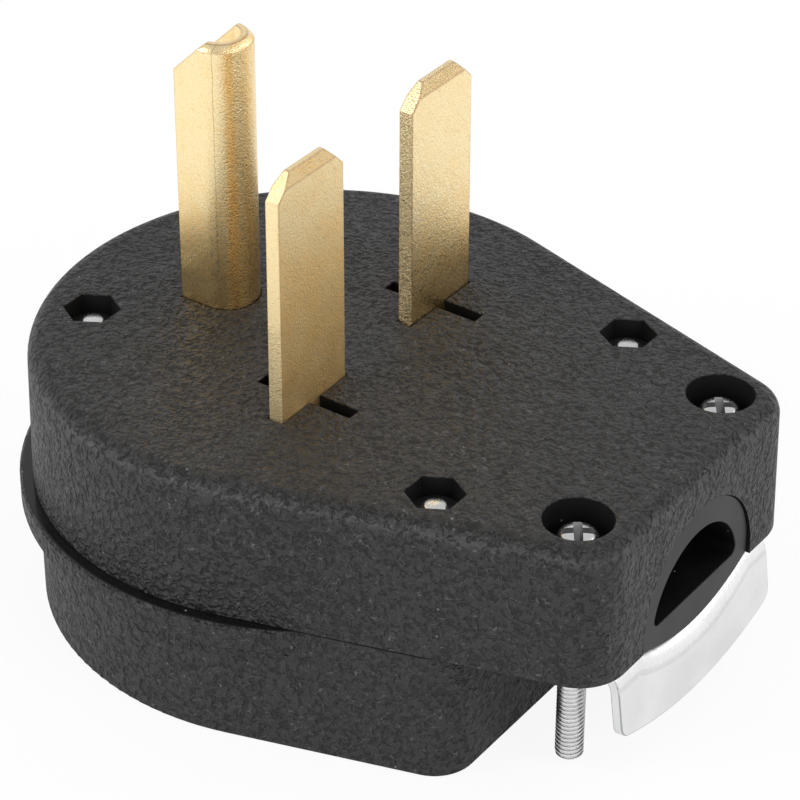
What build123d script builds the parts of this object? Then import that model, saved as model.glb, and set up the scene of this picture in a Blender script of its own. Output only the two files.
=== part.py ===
from build123d import *
from math import cos, radians, sin, sqrt
import os

# Right-angle power plug lying on its back, contacts up. Millimetres.
# +X points to the cord end and +Z out of the contact face. The origin is on the rest plane, under the
# middle of the line between the two blades. Left and right are as seen from the cord end.

# Body: a round end, two sides that close towards the cord end, and a straight cord end
front_depth = 18.75
rear_depth = 18.0
round_radius = 36.7
round_center_x = -8.25
side_taper = 16.7
cord_end_x = 47.85
end_corner_radius = 6.5
face_edge_radius = 2.4
wall_draft = 1.2
front_wall = 2.6
face_wall = 4.0
inner_corner_radius = 4.0
cavity_end_x = 28.4

# Rear cover
rear_end_x = 30.75
rear_corner_radius = 5.6
rear_wall = 3.8
bottom_wall = 3.0
bottom_edge_radius = 0.4
rear_round_setback = 0.43
ledge_overhang = 1.65
ledge_height = 3.6
ledge_edge_chamfer = 0.4
rim_height = 1.5
rim_width = 1.2
rim_clearance = 0.2

# Line blades
blade_width = 12.7
blade_thickness = 2.0
blade_spacing = 26.8
blade_reach = 32.7
blade_corner = 3.0
blade_bevel_depth = 0.6
blade_bevel_height = 1.6
blade_bend_radius = 1.2
slot_clearance = 0.1
slot_end_clearance = 0.3
cross_slot_length = 13.8
cross_slot_width = 1.95

# Ground pin
pin_reach = 36.8
pin_half_width = 4.15
pin_wall = 1.6
pin_free_edge_x = -26.7
pin_nose_center_x = -22.5
pin_leg_drop = 4.5
pin_bevel = 0.8

# Terminals: each contact ends in a foot under seat pads
foot_depth = 10.0
foot_thickness = 2.0
blade_foot_length = 14.0
ground_foot_length = 18.0
terminal_inset = 6.0
pad_width = 3.6
pad_gap = 5.6
terminal_screw_diameter = 5.0
terminal_head_diameter = 8.8
terminal_head_height = 2.8
terminal_head_chamfer = 0.5
terminal_tip_length = 3.5
terminal_slot_width = 1.1
terminal_slot_depth = 1.4
plate_size = 11.0
plate_thickness = 1.5
plate_ear = 1.2
plate_ear_thickness = 0.9
plate_corner_radius = 0.8
hold_down_length = 3.2
hold_down_width = 7.6

# Cover screws and nuts
screw_diameter = 3.5
screw_clearance = 0.15
thread_clearance = 0.05
head_diameter = 5.2
head_height = 2.7
head_crown_radius = 6.0
counterbore_diameter = 8.5
recess_span = 3.6
recess_width = 0.95
recess_depth = 1.5
recess_turn = 35.0
tip_chamfer = 0.45
round_screw_inset = 7.75
round_screw_angle = 26.5
side_screw_x = 24.1
side_screw_y = 21.2
post_radius = 5.0
nut_across_flats = 6.0
nut_height = 2.8
pocket_clearance = 0.17
pocket_depth = 5.2
cover_tip_depth = 1.5
cover_screw_length = 30.0

# Cord clamp
clamp_screw_x = 40.4
clamp_screw_y = 16.0
clamp_screw_length = 30.4
clamp_bore_depth = 4.3
arch_radius = 12.4
arch_center_depth = 17.2
collar_length = 8.0
collar_setback = 0.45
collar_clearance = 0.1
collar_gap = 0.3
cord_hole_half_width = 9.6
cord_hole_height = 8.5
cord_hole_floor_depth = 16.9
cord_hole_corner_radius = 1.0
channel_radius = 9.7
saddle_thickness = 1.25
saddle_half_width = 20.0
saddle_back_x = 34.8
saddle_trough_half_width = 12.2
saddle_trough_dip = 3.1
saddle_trough_blend = 4.0
saddle_corner_radius = 2.5
lip_half_width = 17.3
lip_height = 9.0
lip_arc_dip = 2.7
lip_corner_radius = 1.8
lip_flare = 7.0
lip_setback = 0.5
lip_bend_radius = 3.2
lip_relief = 0.4

# Levels and places that follow from the sizes above
seam_z = rear_depth
face_z = rear_depth + front_depth
taper = radians(side_taper)
roof_z = face_z - face_wall
foot_top_z = face_z - foot_depth
foot_bottom_z = foot_top_z - foot_thickness
arch_center_z = face_z - arch_center_depth
side_offset = round_radius + round_center_x * sin(taper)
rear_round_center_x = round_center_x + rear_round_setback / (1 - sin(taper))
rear_round_radius = side_offset - rear_round_center_x * sin(taper)
screw_radius = screw_diameter / 2
screw_hole_radius = screw_radius + screw_clearance
cover_seat_z = face_z - cover_tip_depth - cover_screw_length
clamp_seat_z = face_z - clamp_bore_depth
saddle_top_z = seam_z
blade_sides = {"left": -blade_spacing / 2, "right": blade_spacing / 2}
round_screw_reach = round_radius - round_screw_inset
round_screw_x = round_center_x - round_screw_reach * cos(radians(round_screw_angle))
round_screw_y = round_screw_reach * sin(radians(round_screw_angle))
cover_screw_places = [
    (round_screw_x, -round_screw_y),
    (round_screw_x, round_screw_y),
    (side_screw_x, -side_screw_y),
    (side_screw_x, side_screw_y),
]
clamp_screw_places = {"left": (clamp_screw_x, -clamp_screw_y), "right": (clamp_screw_x, clamp_screw_y)}
blade_terminal_x = blade_thickness / 2 + blade_foot_length - terminal_inset
ground_foot_end_x = pin_nose_center_x + ground_foot_length
ground_terminal_x = ground_foot_end_x - terminal_inset
terminal_places = {
    "left": (blade_terminal_x, blade_sides["left"]),
    "right": (blade_terminal_x, blade_sides["right"]),
    "ground": (ground_terminal_x, 0),
}


def body_outline(radius, center_x, end_x, corner):
    """Draw the teardrop face: round end, tapering sides, straight end with round corners."""
    tangent_x = center_x + radius * sin(taper)
    tangent_y = radius * cos(taper)
    end_y = (radius - (end_x - center_x) * sin(taper)) / cos(taper)
    with BuildLine() as outline:
        ThreePointArc((tangent_x, tangent_y), (center_x - radius, 0), (tangent_x, -tangent_y))
        Polyline((tangent_x, -tangent_y), (end_x, -end_y), (end_x, end_y), (tangent_x, tangent_y))
    make_face(outline.edges())
    fillet(vertices().group_by(Axis.X)[-1], corner)


def pin_outline(grow):
    """Draw the ground pin's folded section, grown by a clearance on every side."""
    outer = pin_half_width + grow
    inner = pin_half_width - pin_wall - grow
    free_edge_x = pin_free_edge_x - grow
    with BuildLine() as outline:
        Line((free_edge_x, -outer), (pin_nose_center_x, -outer))
        ThreePointArc((pin_nose_center_x, -outer), (pin_nose_center_x + outer, 0), (pin_nose_center_x, outer))
        Polyline(
            (pin_nose_center_x, outer),
            (free_edge_x, outer),
            (free_edge_x, inner),
            (pin_nose_center_x, inner),
        )
        ThreePointArc((pin_nose_center_x, inner), (pin_nose_center_x + inner, 0), (pin_nose_center_x, -inner))
        Polyline((pin_nose_center_x, -inner), (free_edge_x, -inner), (free_edge_x, -outer))
    make_face(outline.edges())


def arch_outline(radius, center_z, floor_z):
    """Draw an arch on a plane that looks along X: half round above, straight legs down to the floor."""
    with BuildLine() as outline:
        ThreePointArc((-radius, center_z), (0, center_z + radius), (radius, center_z))
        Polyline((radius, center_z), (radius, floor_z), (-radius, floor_z), (-radius, center_z))
    make_face(outline.edges())


def trough_outline(half_width, top_z, depth):
    """Draw a strip, on a plane that looks along X, whose middle dips in an arc."""
    edge = saddle_trough_half_width
    low_z = top_z - saddle_trough_dip
    with BuildLine() as outline:
        Line((-half_width, top_z), (-edge, top_z))
        ThreePointArc((-edge, top_z), (0, low_z), (edge, top_z))
        Polyline((edge, top_z), (half_width, top_z), (half_width, top_z - depth), (edge, top_z - depth))
        ThreePointArc((edge, top_z - depth), (0, low_z - depth), (-edge, top_z - depth))
        Polyline((-edge, top_z - depth), (-half_width, top_z - depth), (-half_width, top_z))
    make_face(outline.edges())
    columns = vertices().group_by(Axis.X)
    fillet(columns[1] + columns[2], saddle_trough_blend)


def lip_outline(top_z):
    """Draw the saddle's lip on its own plane: top edge along the trough, lower edge one wide arc."""
    edge = saddle_trough_half_width
    with BuildLine() as outline:
        Polyline((-lip_half_width, -lip_height), (-lip_half_width, top_z), (-edge, top_z))
        ThreePointArc((-edge, top_z), (0, top_z - saddle_trough_dip), (edge, top_z))
        Polyline((edge, top_z), (lip_half_width, top_z), (lip_half_width, -lip_height))
        ThreePointArc(
            (lip_half_width, -lip_height),
            (0, -lip_height - lip_arc_dip),
            (-lip_half_width, -lip_height),
        )
    make_face(outline.edges())
    columns = vertices().group_by(Axis.X)
    fillet(columns[1] + columns[2], saddle_trough_blend)
    fillet(vertices().group_by(Axis.Y)[0], lip_corner_radius)


def lies_on_bend(edge):
    """Tell whether an edge of the lip is one of those along the bend, between the lip's two ends."""
    middle = edge.position_at(0.5)
    low_z = saddle_top_z - saddle_trough_dip - 2 * saddle_thickness
    return middle.Z > low_z and abs(middle.Y) < lip_half_width - saddle_thickness / 2


def screw_profile(length, shank_radius, head_radius, height, crown):
    """Draw half of a screw, on a plane whose Y runs from the seat towards the tip."""
    rim_height = height - crown + sqrt(crown**2 - head_radius**2)
    with BuildLine() as outline:
        Polyline(
            (0, -height),
            (0, length),
            (shank_radius - tip_chamfer, length),
            (shank_radius, length - tip_chamfer),
            (shank_radius, 0),
            (head_radius, 0),
            (head_radius, -rim_height),
        )
        RadiusArc((head_radius, -rim_height), (0, -height), crown)
    make_face(outline.edges())


os.makedirs("parts", exist_ok=True)


def save(part, name):
    """Label a finished piece and write its file."""
    part.label = name
    export_step(part, f"parts/{name}.step")


# Front housing: outer form, chamber, screw posts, contact seats, then the openings
with BuildPart() as front_housing:
    with BuildSketch(Plane.XY.offset(seam_z)):
        body_outline(round_radius, round_center_x, cord_end_x, end_corner_radius)
    extrude(amount=front_depth, taper=wall_draft)
    fillet(front_housing.edges().group_by(Axis.Z)[-1], face_edge_radius)
    with BuildSketch(Plane.XY.offset(seam_z)):
        body_outline(round_radius - front_wall, round_center_x, cavity_end_x, inner_corner_radius)
    extrude(amount=front_depth - face_wall, taper=wall_draft, mode=Mode.SUBTRACT)
    with BuildSketch(Plane.XY.offset(seam_z)):
        with Locations(*cover_screw_places):
            Circle(post_radius)
    extrude(amount=front_depth - face_wall)
    with BuildSketch(Plane.XY.offset(foot_top_z)):
        for pad_y in blade_sides.values():
            with Locations((blade_thickness + blade_foot_length / 2, pad_y)):
                with GridLocations(1, pad_gap + pad_width, 1, 2):
                    Rectangle(blade_foot_length - blade_thickness, pad_width)
        with Locations((ground_foot_end_x - terminal_inset, 0)):
            with GridLocations(1, pad_gap + pad_width / 2, 1, 2):
                Rectangle(2 * terminal_inset, pad_width / 2)
    extrude(amount=roof_z - foot_top_z)
    with BuildSketch(Plane.XY.offset(face_z)):
        with Locations(*[(0, y) for y in blade_sides.values()]):
            Rectangle(blade_thickness + 2 * slot_clearance, blade_width + 2 * slot_end_clearance)
            Rectangle(cross_slot_length, cross_slot_width)
    extrude(amount=-face_wall, mode=Mode.SUBTRACT)
    with BuildSketch(Plane.XY.offset(face_z)):
        pin_outline(slot_clearance)
    extrude(amount=-face_wall, mode=Mode.SUBTRACT)
    with BuildSketch(Plane.XY.offset(face_z)):
        with Locations(*cover_screw_places):
            RegularPolygon(nut_across_flats / 2 + pocket_clearance, 6, major_radius=False, rotation=30)
    extrude(amount=-pocket_depth, mode=Mode.SUBTRACT)
    with BuildSketch(Plane.XY.offset(seam_z)):
        with Locations(*cover_screw_places, *clamp_screw_places.values()):
            Circle(screw_hole_radius)
    extrude(amount=front_depth, mode=Mode.SUBTRACT)
    with BuildSketch(Plane.XY.offset(face_z)):
        with Locations(*clamp_screw_places.values()):
            Circle(counterbore_diameter / 2)
    extrude(amount=-clamp_bore_depth, mode=Mode.SUBTRACT)
    with BuildSketch(Plane.YZ.offset(cavity_end_x - front_wall)):
        arch_outline(channel_radius, arch_center_z, seam_z)
    extrude(amount=cord_end_x - cavity_end_x + front_wall, mode=Mode.SUBTRACT)
    with BuildSketch(Plane.YZ.offset(cord_end_x - collar_length - collar_setback)):
        arch_outline(arch_radius, arch_center_z, seam_z)
    extrude(amount=collar_length + collar_setback, mode=Mode.SUBTRACT)
save(front_housing.part, "front_housing")

# Rear cover: shell with finger ledge, locating rim, screw posts and posts that hold the contacts down
with BuildPart() as rear_cover:
    with BuildSketch(Plane.XY.offset(seam_z - ledge_height)):
        with Locations((round_center_x, 0)):
            Circle(round_radius + ledge_overhang)
    extrude(amount=ledge_height)
    chamfer(rear_cover.edges().filter_by(GeomType.CIRCLE), ledge_edge_chamfer)
    with BuildSketch():
        body_outline(rear_round_radius, rear_round_center_x, rear_end_x, rear_corner_radius)
    extrude(amount=rear_depth)
    fillet(rear_cover.edges().group_by(Axis.Z)[0], bottom_edge_radius)
    with BuildSketch(Plane.XY.offset(seam_z)):
        body_outline(
            round_radius - front_wall - rim_clearance,
            round_center_x,
            cavity_end_x - rim_clearance,
            inner_corner_radius,
        )
    extrude(amount=rim_height)
    with BuildSketch(Plane.XY.offset(bottom_wall)):
        body_outline(
            rear_round_radius - rear_wall,
            rear_round_center_x,
            cavity_end_x - rim_width - rim_clearance,
            inner_corner_radius,
        )
    extrude(amount=rear_depth + rim_height - bottom_wall, mode=Mode.SUBTRACT)
    with BuildSketch(Plane.XY.offset(seam_z)):
        with Locations(*cover_screw_places):
            Circle(post_radius + rim_clearance)
    extrude(amount=rim_height, mode=Mode.SUBTRACT)
    with BuildSketch(Plane.XY.offset(seam_z)):
        with Locations((cavity_end_x, 0)):
            Rectangle(2 * post_radius, 2 * channel_radius)
    extrude(amount=rim_height, mode=Mode.SUBTRACT)
    with BuildSketch(Plane.XY.offset(bottom_wall)):
        with Locations(*cover_screw_places):
            Circle(post_radius)
    extrude(amount=rear_depth - bottom_wall)
    with BuildSketch(Plane.XY.offset(bottom_wall)):
        with Locations(*[(0, y) for y in blade_sides.values()], (pin_nose_center_x, 0)):
            Rectangle(hold_down_length, hold_down_width)
    extrude(amount=foot_bottom_z - bottom_wall)
    with BuildSketch():
        with Locations(*cover_screw_places):
            Circle(screw_hole_radius)
    extrude(amount=rear_depth, mode=Mode.SUBTRACT)
    with BuildSketch():
        with Locations(*cover_screw_places):
            Circle(counterbore_diameter / 2 - screw_clearance)
    extrude(amount=cover_seat_z, mode=Mode.SUBTRACT)
save(rear_cover.part, "rear_cover")

# Line blades: one bent strip each, tip up, foot towards the cord end
for side, blade_y in blade_sides.items():
    with BuildPart() as line_blade:
        strip = Plane(origin=(-blade_thickness / 2, blade_y, face_z), x_dir=(0, 1, 0), z_dir=(1, 0, 0))
        with BuildSketch(strip):
            with Locations((0, (blade_reach - foot_depth - foot_thickness) / 2)):
                Rectangle(blade_width, blade_reach + foot_depth + foot_thickness)
            chamfer(vertices().group_by(Axis.Y)[-1], blade_corner)
        extrude(amount=blade_thickness)
        tip_edges = line_blade.edges().filter_by(Axis.Y).group_by(Axis.Z)[-1]
        tip_face = line_blade.faces().sort_by(Axis.Z)[-1]
        chamfer(tip_edges, blade_bevel_depth, blade_bevel_height, reference=tip_face)
        with BuildSketch(Plane.XY.offset(foot_bottom_z)):
            with Locations((blade_foot_length / 2, blade_y)):
                Rectangle(blade_foot_length + blade_thickness, blade_width)
            fillet(vertices().group_by(Axis.X)[-1], saddle_corner_radius)
        extrude(amount=foot_thickness)
        bend = line_blade.edges().filter_by(Axis.Y).group_by(Axis.Z)[0].sort_by(Axis.X)[0]
        fillet(bend, blade_bend_radius)
        with BuildSketch(Plane.XY.offset(foot_bottom_z)):
            with Locations(terminal_places[side]):
                Circle(terminal_screw_diameter / 2 + thread_clearance)
        extrude(amount=foot_thickness, mode=Mode.SUBTRACT)
    save(line_blade.part, f"line_blade_{side}")

# Ground pin: sheet folded to a U, its legs cut back at a slant, with a flat foot inside the housing
with BuildPart() as ground_pin:
    with BuildSketch(Plane.XY.offset(foot_bottom_z)):
        pin_outline(0)
    extrude(amount=foot_depth + foot_thickness + pin_reach)
    pin_top_z = face_z + pin_reach
    nose_edge = ground_pin.edges().filter_by(GeomType.CIRCLE).group_by(Axis.Z)[-1].sort_by(SortBy.RADIUS)[-1]
    chamfer(nose_edge, pin_bevel)
    with BuildSketch(Plane.XZ):
        with BuildLine():
            Polyline(
                (pin_free_edge_x, pin_top_z - pin_leg_drop),
                (pin_free_edge_x + pin_leg_drop, pin_top_z),
                (pin_free_edge_x, pin_top_z),
                close=True,
            )
        make_face()
    extrude(amount=pin_half_width, both=True, mode=Mode.SUBTRACT)
    with BuildSketch(Plane.XY.offset(foot_bottom_z)):
        with Locations(((pin_free_edge_x + ground_foot_end_x) / 2, 0)):
            Rectangle(ground_foot_end_x - pin_free_edge_x, 2 * pin_half_width)
        fillet(vertices().group_by(Axis.X)[-1], pin_wall)
    extrude(amount=foot_thickness)
    with BuildSketch(Plane.XY.offset(foot_bottom_z)):
        with Locations(terminal_places["ground"]):
            Circle(terminal_screw_diameter / 2 + thread_clearance)
    extrude(amount=foot_thickness, mode=Mode.SUBTRACT)
save(ground_pin.part, "ground_pin")

# Terminals: a clamping plate with a turned-down edge, and a binding screw, under each foot
for name, place in terminal_places.items():
    with BuildPart() as pressure_plate:
        with BuildSketch(Plane.XY.offset(foot_bottom_z - plate_thickness)):
            with Locations(place):
                RectangleRounded(plate_size, plate_size, plate_corner_radius)
                Circle(terminal_screw_diameter / 2 + screw_clearance, mode=Mode.SUBTRACT)
        extrude(amount=plate_thickness)
        with BuildSketch(Plane.XY.offset(foot_bottom_z - plate_thickness - plate_ear)):
            with Locations((place[0] + plate_size / 2 - plate_ear_thickness / 2, place[1])):
                Rectangle(plate_ear_thickness, plate_size - 2 * plate_corner_radius)
        extrude(amount=plate_ear + plate_thickness)
    save(pressure_plate.part, f"pressure_plate_{name}")
    with BuildPart() as terminal_screw:
        seat_z = foot_bottom_z - plate_thickness
        shank_length = plate_thickness + foot_thickness + terminal_tip_length
        with BuildSketch(Plane.XY.offset(seat_z - terminal_head_height)):
            with Locations(place):
                Circle(terminal_head_diameter / 2)
        extrude(amount=terminal_head_height)
        chamfer(terminal_screw.edges().group_by(Axis.Z)[0], terminal_head_chamfer)
        with BuildSketch(Plane.XY.offset(seat_z)):
            with Locations(place):
                Circle(terminal_screw_diameter / 2)
        extrude(amount=shank_length)
        chamfer(terminal_screw.edges().group_by(Axis.Z)[-1], tip_chamfer)
        with BuildSketch(Plane.XY.offset(seat_z - terminal_head_height)):
            with Locations(place):
                Rectangle(terminal_head_diameter, terminal_slot_width)
        extrude(amount=terminal_slot_depth, mode=Mode.SUBTRACT)
    save(terminal_screw.part, f"terminal_screw_{name}")

# Cover screws, heads in the rear cover, and their nuts in the pockets of the contact face
for index, place in enumerate(cover_screw_places, start=1):
    with BuildPart() as cover_screw:
        with BuildSketch(Plane(origin=(place[0], place[1], cover_seat_z), x_dir=(1, 0, 0), z_dir=(0, -1, 0))):
            screw_profile(cover_screw_length, screw_radius, head_diameter / 2, head_height, head_crown_radius)
        revolve(axis=Axis((place[0], place[1], 0), (0, 0, 1)))
        with BuildSketch(Plane.XY.offset(cover_seat_z - head_height)):
            with Locations(place):
                Rectangle(recess_span, recess_width)
                Rectangle(recess_width, recess_span)
        extrude(amount=recess_depth, mode=Mode.SUBTRACT)
    save(cover_screw.part, f"cover_screw_{index}")
    with BuildPart() as cover_nut:
        with BuildSketch(Plane.XY.offset(face_z - pocket_depth)):
            with Locations(place):
                RegularPolygon(nut_across_flats / 2, 6, major_radius=False, rotation=30)
                Circle(screw_radius + thread_clearance, mode=Mode.SUBTRACT)
        extrude(amount=nut_height)
    save(cover_nut.part, f"cover_nut_{index}")

# Cord collar: arched bushing with a D-shaped hole, its underside following the saddle's trough
with BuildPart() as cord_collar:
    collar_radius = arch_radius - collar_clearance
    collar_foot_z = seam_z + collar_gap
    hole_floor_z = face_z - cord_hole_floor_depth
    with BuildSketch(Plane.YZ.offset(cord_end_x - collar_setback - collar_length)):
        with BuildLine():
            Line((-collar_radius, collar_foot_z), (-collar_radius, arch_center_z))
            ThreePointArc(
                (-collar_radius, arch_center_z),
                (0, arch_center_z + collar_radius),
                (collar_radius, arch_center_z),
            )
            Line((collar_radius, arch_center_z), (collar_radius, collar_foot_z))
            ThreePointArc(
                (collar_radius, collar_foot_z),
                (0, collar_foot_z - saddle_trough_dip),
                (-collar_radius, collar_foot_z),
            )
        make_face()
    extrude(amount=collar_length)
    with BuildSketch(Plane.YZ.offset(cord_end_x - collar_setback - collar_length)):
        with BuildLine():
            ThreePointArc(
                (-cord_hole_half_width, hole_floor_z),
                (0, hole_floor_z + cord_hole_height),
                (cord_hole_half_width, hole_floor_z),
            )
            Line((cord_hole_half_width, hole_floor_z), (-cord_hole_half_width, hole_floor_z))
        make_face()
        fillet(vertices(), cord_hole_corner_radius)
    extrude(amount=collar_length, mode=Mode.SUBTRACT)
save(cord_collar.part, "cord_collar")

# Cord saddle: bent sheet with a trough between two ears and a flared lip turned down in front
with BuildPart() as cord_saddle:
    lip_x = cord_end_x - lip_setback
    flare = radians(lip_flare)
    lip_plane = Plane(origin=(lip_x, 0, saddle_top_z), x_dir=(0, 1, 0), z_dir=(cos(flare), 0, sin(flare)))
    ear_front_x = lip_x - lip_bend_radius - lip_relief
    with BuildSketch(Plane.YZ.offset(saddle_back_x)):
        trough_outline(saddle_half_width, saddle_top_z, saddle_thickness)
    extrude(amount=ear_front_x - saddle_back_x)
    fillet(cord_saddle.edges().filter_by(Axis.Z), saddle_corner_radius)
    with BuildSketch(Plane.YZ.offset(ear_front_x - saddle_corner_radius)):
        trough_outline(lip_half_width, saddle_top_z, saddle_thickness)
    extrude(amount=lip_x - ear_front_x + saddle_corner_radius + saddle_trough_dip)
    split(bisect_by=lip_plane, keep=Keep.BOTTOM)
    with BuildSketch(lip_plane):
        lip_outline(-saddle_thickness / 2)
    extrude(amount=-saddle_thickness)
    for lip_side, radius in ((0, lip_bend_radius - saddle_thickness), (-1, lip_bend_radius)):
        lip_face = cord_saddle.faces().filter_by(lip_plane).sort_by(Axis.X)[lip_side]
        fillet(lip_face.edges().filter_by(lies_on_bend), radius)
    with BuildSketch(Plane.XY.offset(saddle_top_z - saddle_thickness)):
        with Locations(*clamp_screw_places.values()):
            Circle(screw_radius + thread_clearance)
    extrude(amount=saddle_thickness, mode=Mode.SUBTRACT)
save(cord_saddle.part, "cord_saddle")

# Clamp screws: heads in the counterbores of the contact face, tips down through the saddle's ears
for side, place in clamp_screw_places.items():
    with BuildPart() as clamp_screw:
        with BuildSketch(Plane(origin=(place[0], place[1], clamp_seat_z), x_dir=(1, 0, 0), z_dir=(0, 1, 0))):
            screw_profile(clamp_screw_length, screw_radius, head_diameter / 2, head_height, head_crown_radius)
        revolve(axis=Axis((place[0], place[1], 0), (0, 0, 1)))
        with BuildSketch(Plane.XY.offset(clamp_seat_z + head_height)):
            with Locations(place):
                Rectangle(recess_span, recess_width, rotation=recess_turn)
                Rectangle(recess_width, recess_span, rotation=recess_turn)
        extrude(amount=-recess_depth, mode=Mode.SUBTRACT)
    save(clamp_screw.part, f"clamp_screw_{side}")
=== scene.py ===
"""Looks, light and camera for a right-angle power plug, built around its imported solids.

The contacts point to +Z and the cord end to +X. Sizes are in metres, in the frame of the solids.
"""

import logging
import math
from dataclasses import dataclass
from enum import Enum, IntEnum
from typing import Callable, Sequence

import bmesh
import bpy
from mathutils import Matrix, Quaternion, Vector
from mathutils.bvhtree import BVHTree


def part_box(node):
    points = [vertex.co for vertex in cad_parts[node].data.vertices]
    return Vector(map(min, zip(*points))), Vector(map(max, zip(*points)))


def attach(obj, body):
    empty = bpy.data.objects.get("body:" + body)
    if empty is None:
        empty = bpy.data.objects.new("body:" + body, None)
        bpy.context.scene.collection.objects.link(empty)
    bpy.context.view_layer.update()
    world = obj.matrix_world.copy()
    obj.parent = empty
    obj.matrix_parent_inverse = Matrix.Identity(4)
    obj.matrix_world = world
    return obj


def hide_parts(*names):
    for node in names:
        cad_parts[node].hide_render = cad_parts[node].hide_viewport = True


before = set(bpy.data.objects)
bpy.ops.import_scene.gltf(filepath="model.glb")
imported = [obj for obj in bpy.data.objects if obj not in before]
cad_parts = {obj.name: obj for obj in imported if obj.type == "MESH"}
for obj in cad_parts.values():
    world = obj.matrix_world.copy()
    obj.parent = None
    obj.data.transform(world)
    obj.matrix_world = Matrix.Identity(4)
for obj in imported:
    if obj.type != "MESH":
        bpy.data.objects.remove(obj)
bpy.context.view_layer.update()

MM = 0.001
SEAM_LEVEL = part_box("front_housing")[0].z
FACE_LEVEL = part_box("front_housing")[1].z
BODY = "plug_body"
PLACE_ATTRIBUTE = "turn"
RIM_ATTRIBUTE = "rim"
SIDE_ATTRIBUTE = "sheared"
TIP_ATTRIBUTE = "beaded"
EDGE_ATTRIBUTE = "edge_highlight"
MERGE_DISTANCE = 0.002 * MM
WELD_DISTANCE = 0.004 * MM
FLAT_ANGLE = math.radians(0.4)
SHARP_ANGLE = math.radians(28)
SMOOTH_ANGLE = math.radians(38)
FLOAT = "NodeSocketFloat"
VECTOR = "NodeSocketVector"
GEOMETRY = "NodeSocketGeometry"
NOISE_MIDDLE = 0.5
WHITE = (1.0, 1.0, 1.0, 1.0)

log = logging.getLogger("plug")

Band = tuple[float, float]
Colour = tuple[float, float, float]
Stretch = tuple[float, float, float]
Place = tuple[Vector, float]
Piece = bpy.types.Object
Socket = bpy.types.NodeSocket


class Side(Enum):
    """The two sides of the plug as seen from the cord end."""

    LEFT = "left"
    RIGHT = "right"


class Pointing(Enum):
    """Which way a screw points from its seat, as a turn about X."""

    UP = 0.0
    DOWN = math.pi


class Zone(IntEnum):
    """The zones of a moulding, in the order of its materials.

    The smooth zone is the nut pockets of the front housing and the ledge's top on the rear cover. The hollow
    and smooth zones are darker blacks that paint shade; the hollow zone also draws the dark seam line.
    """

    OUTSIDE = 0
    HOLLOW = 1
    SMOOTH = 2


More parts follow.
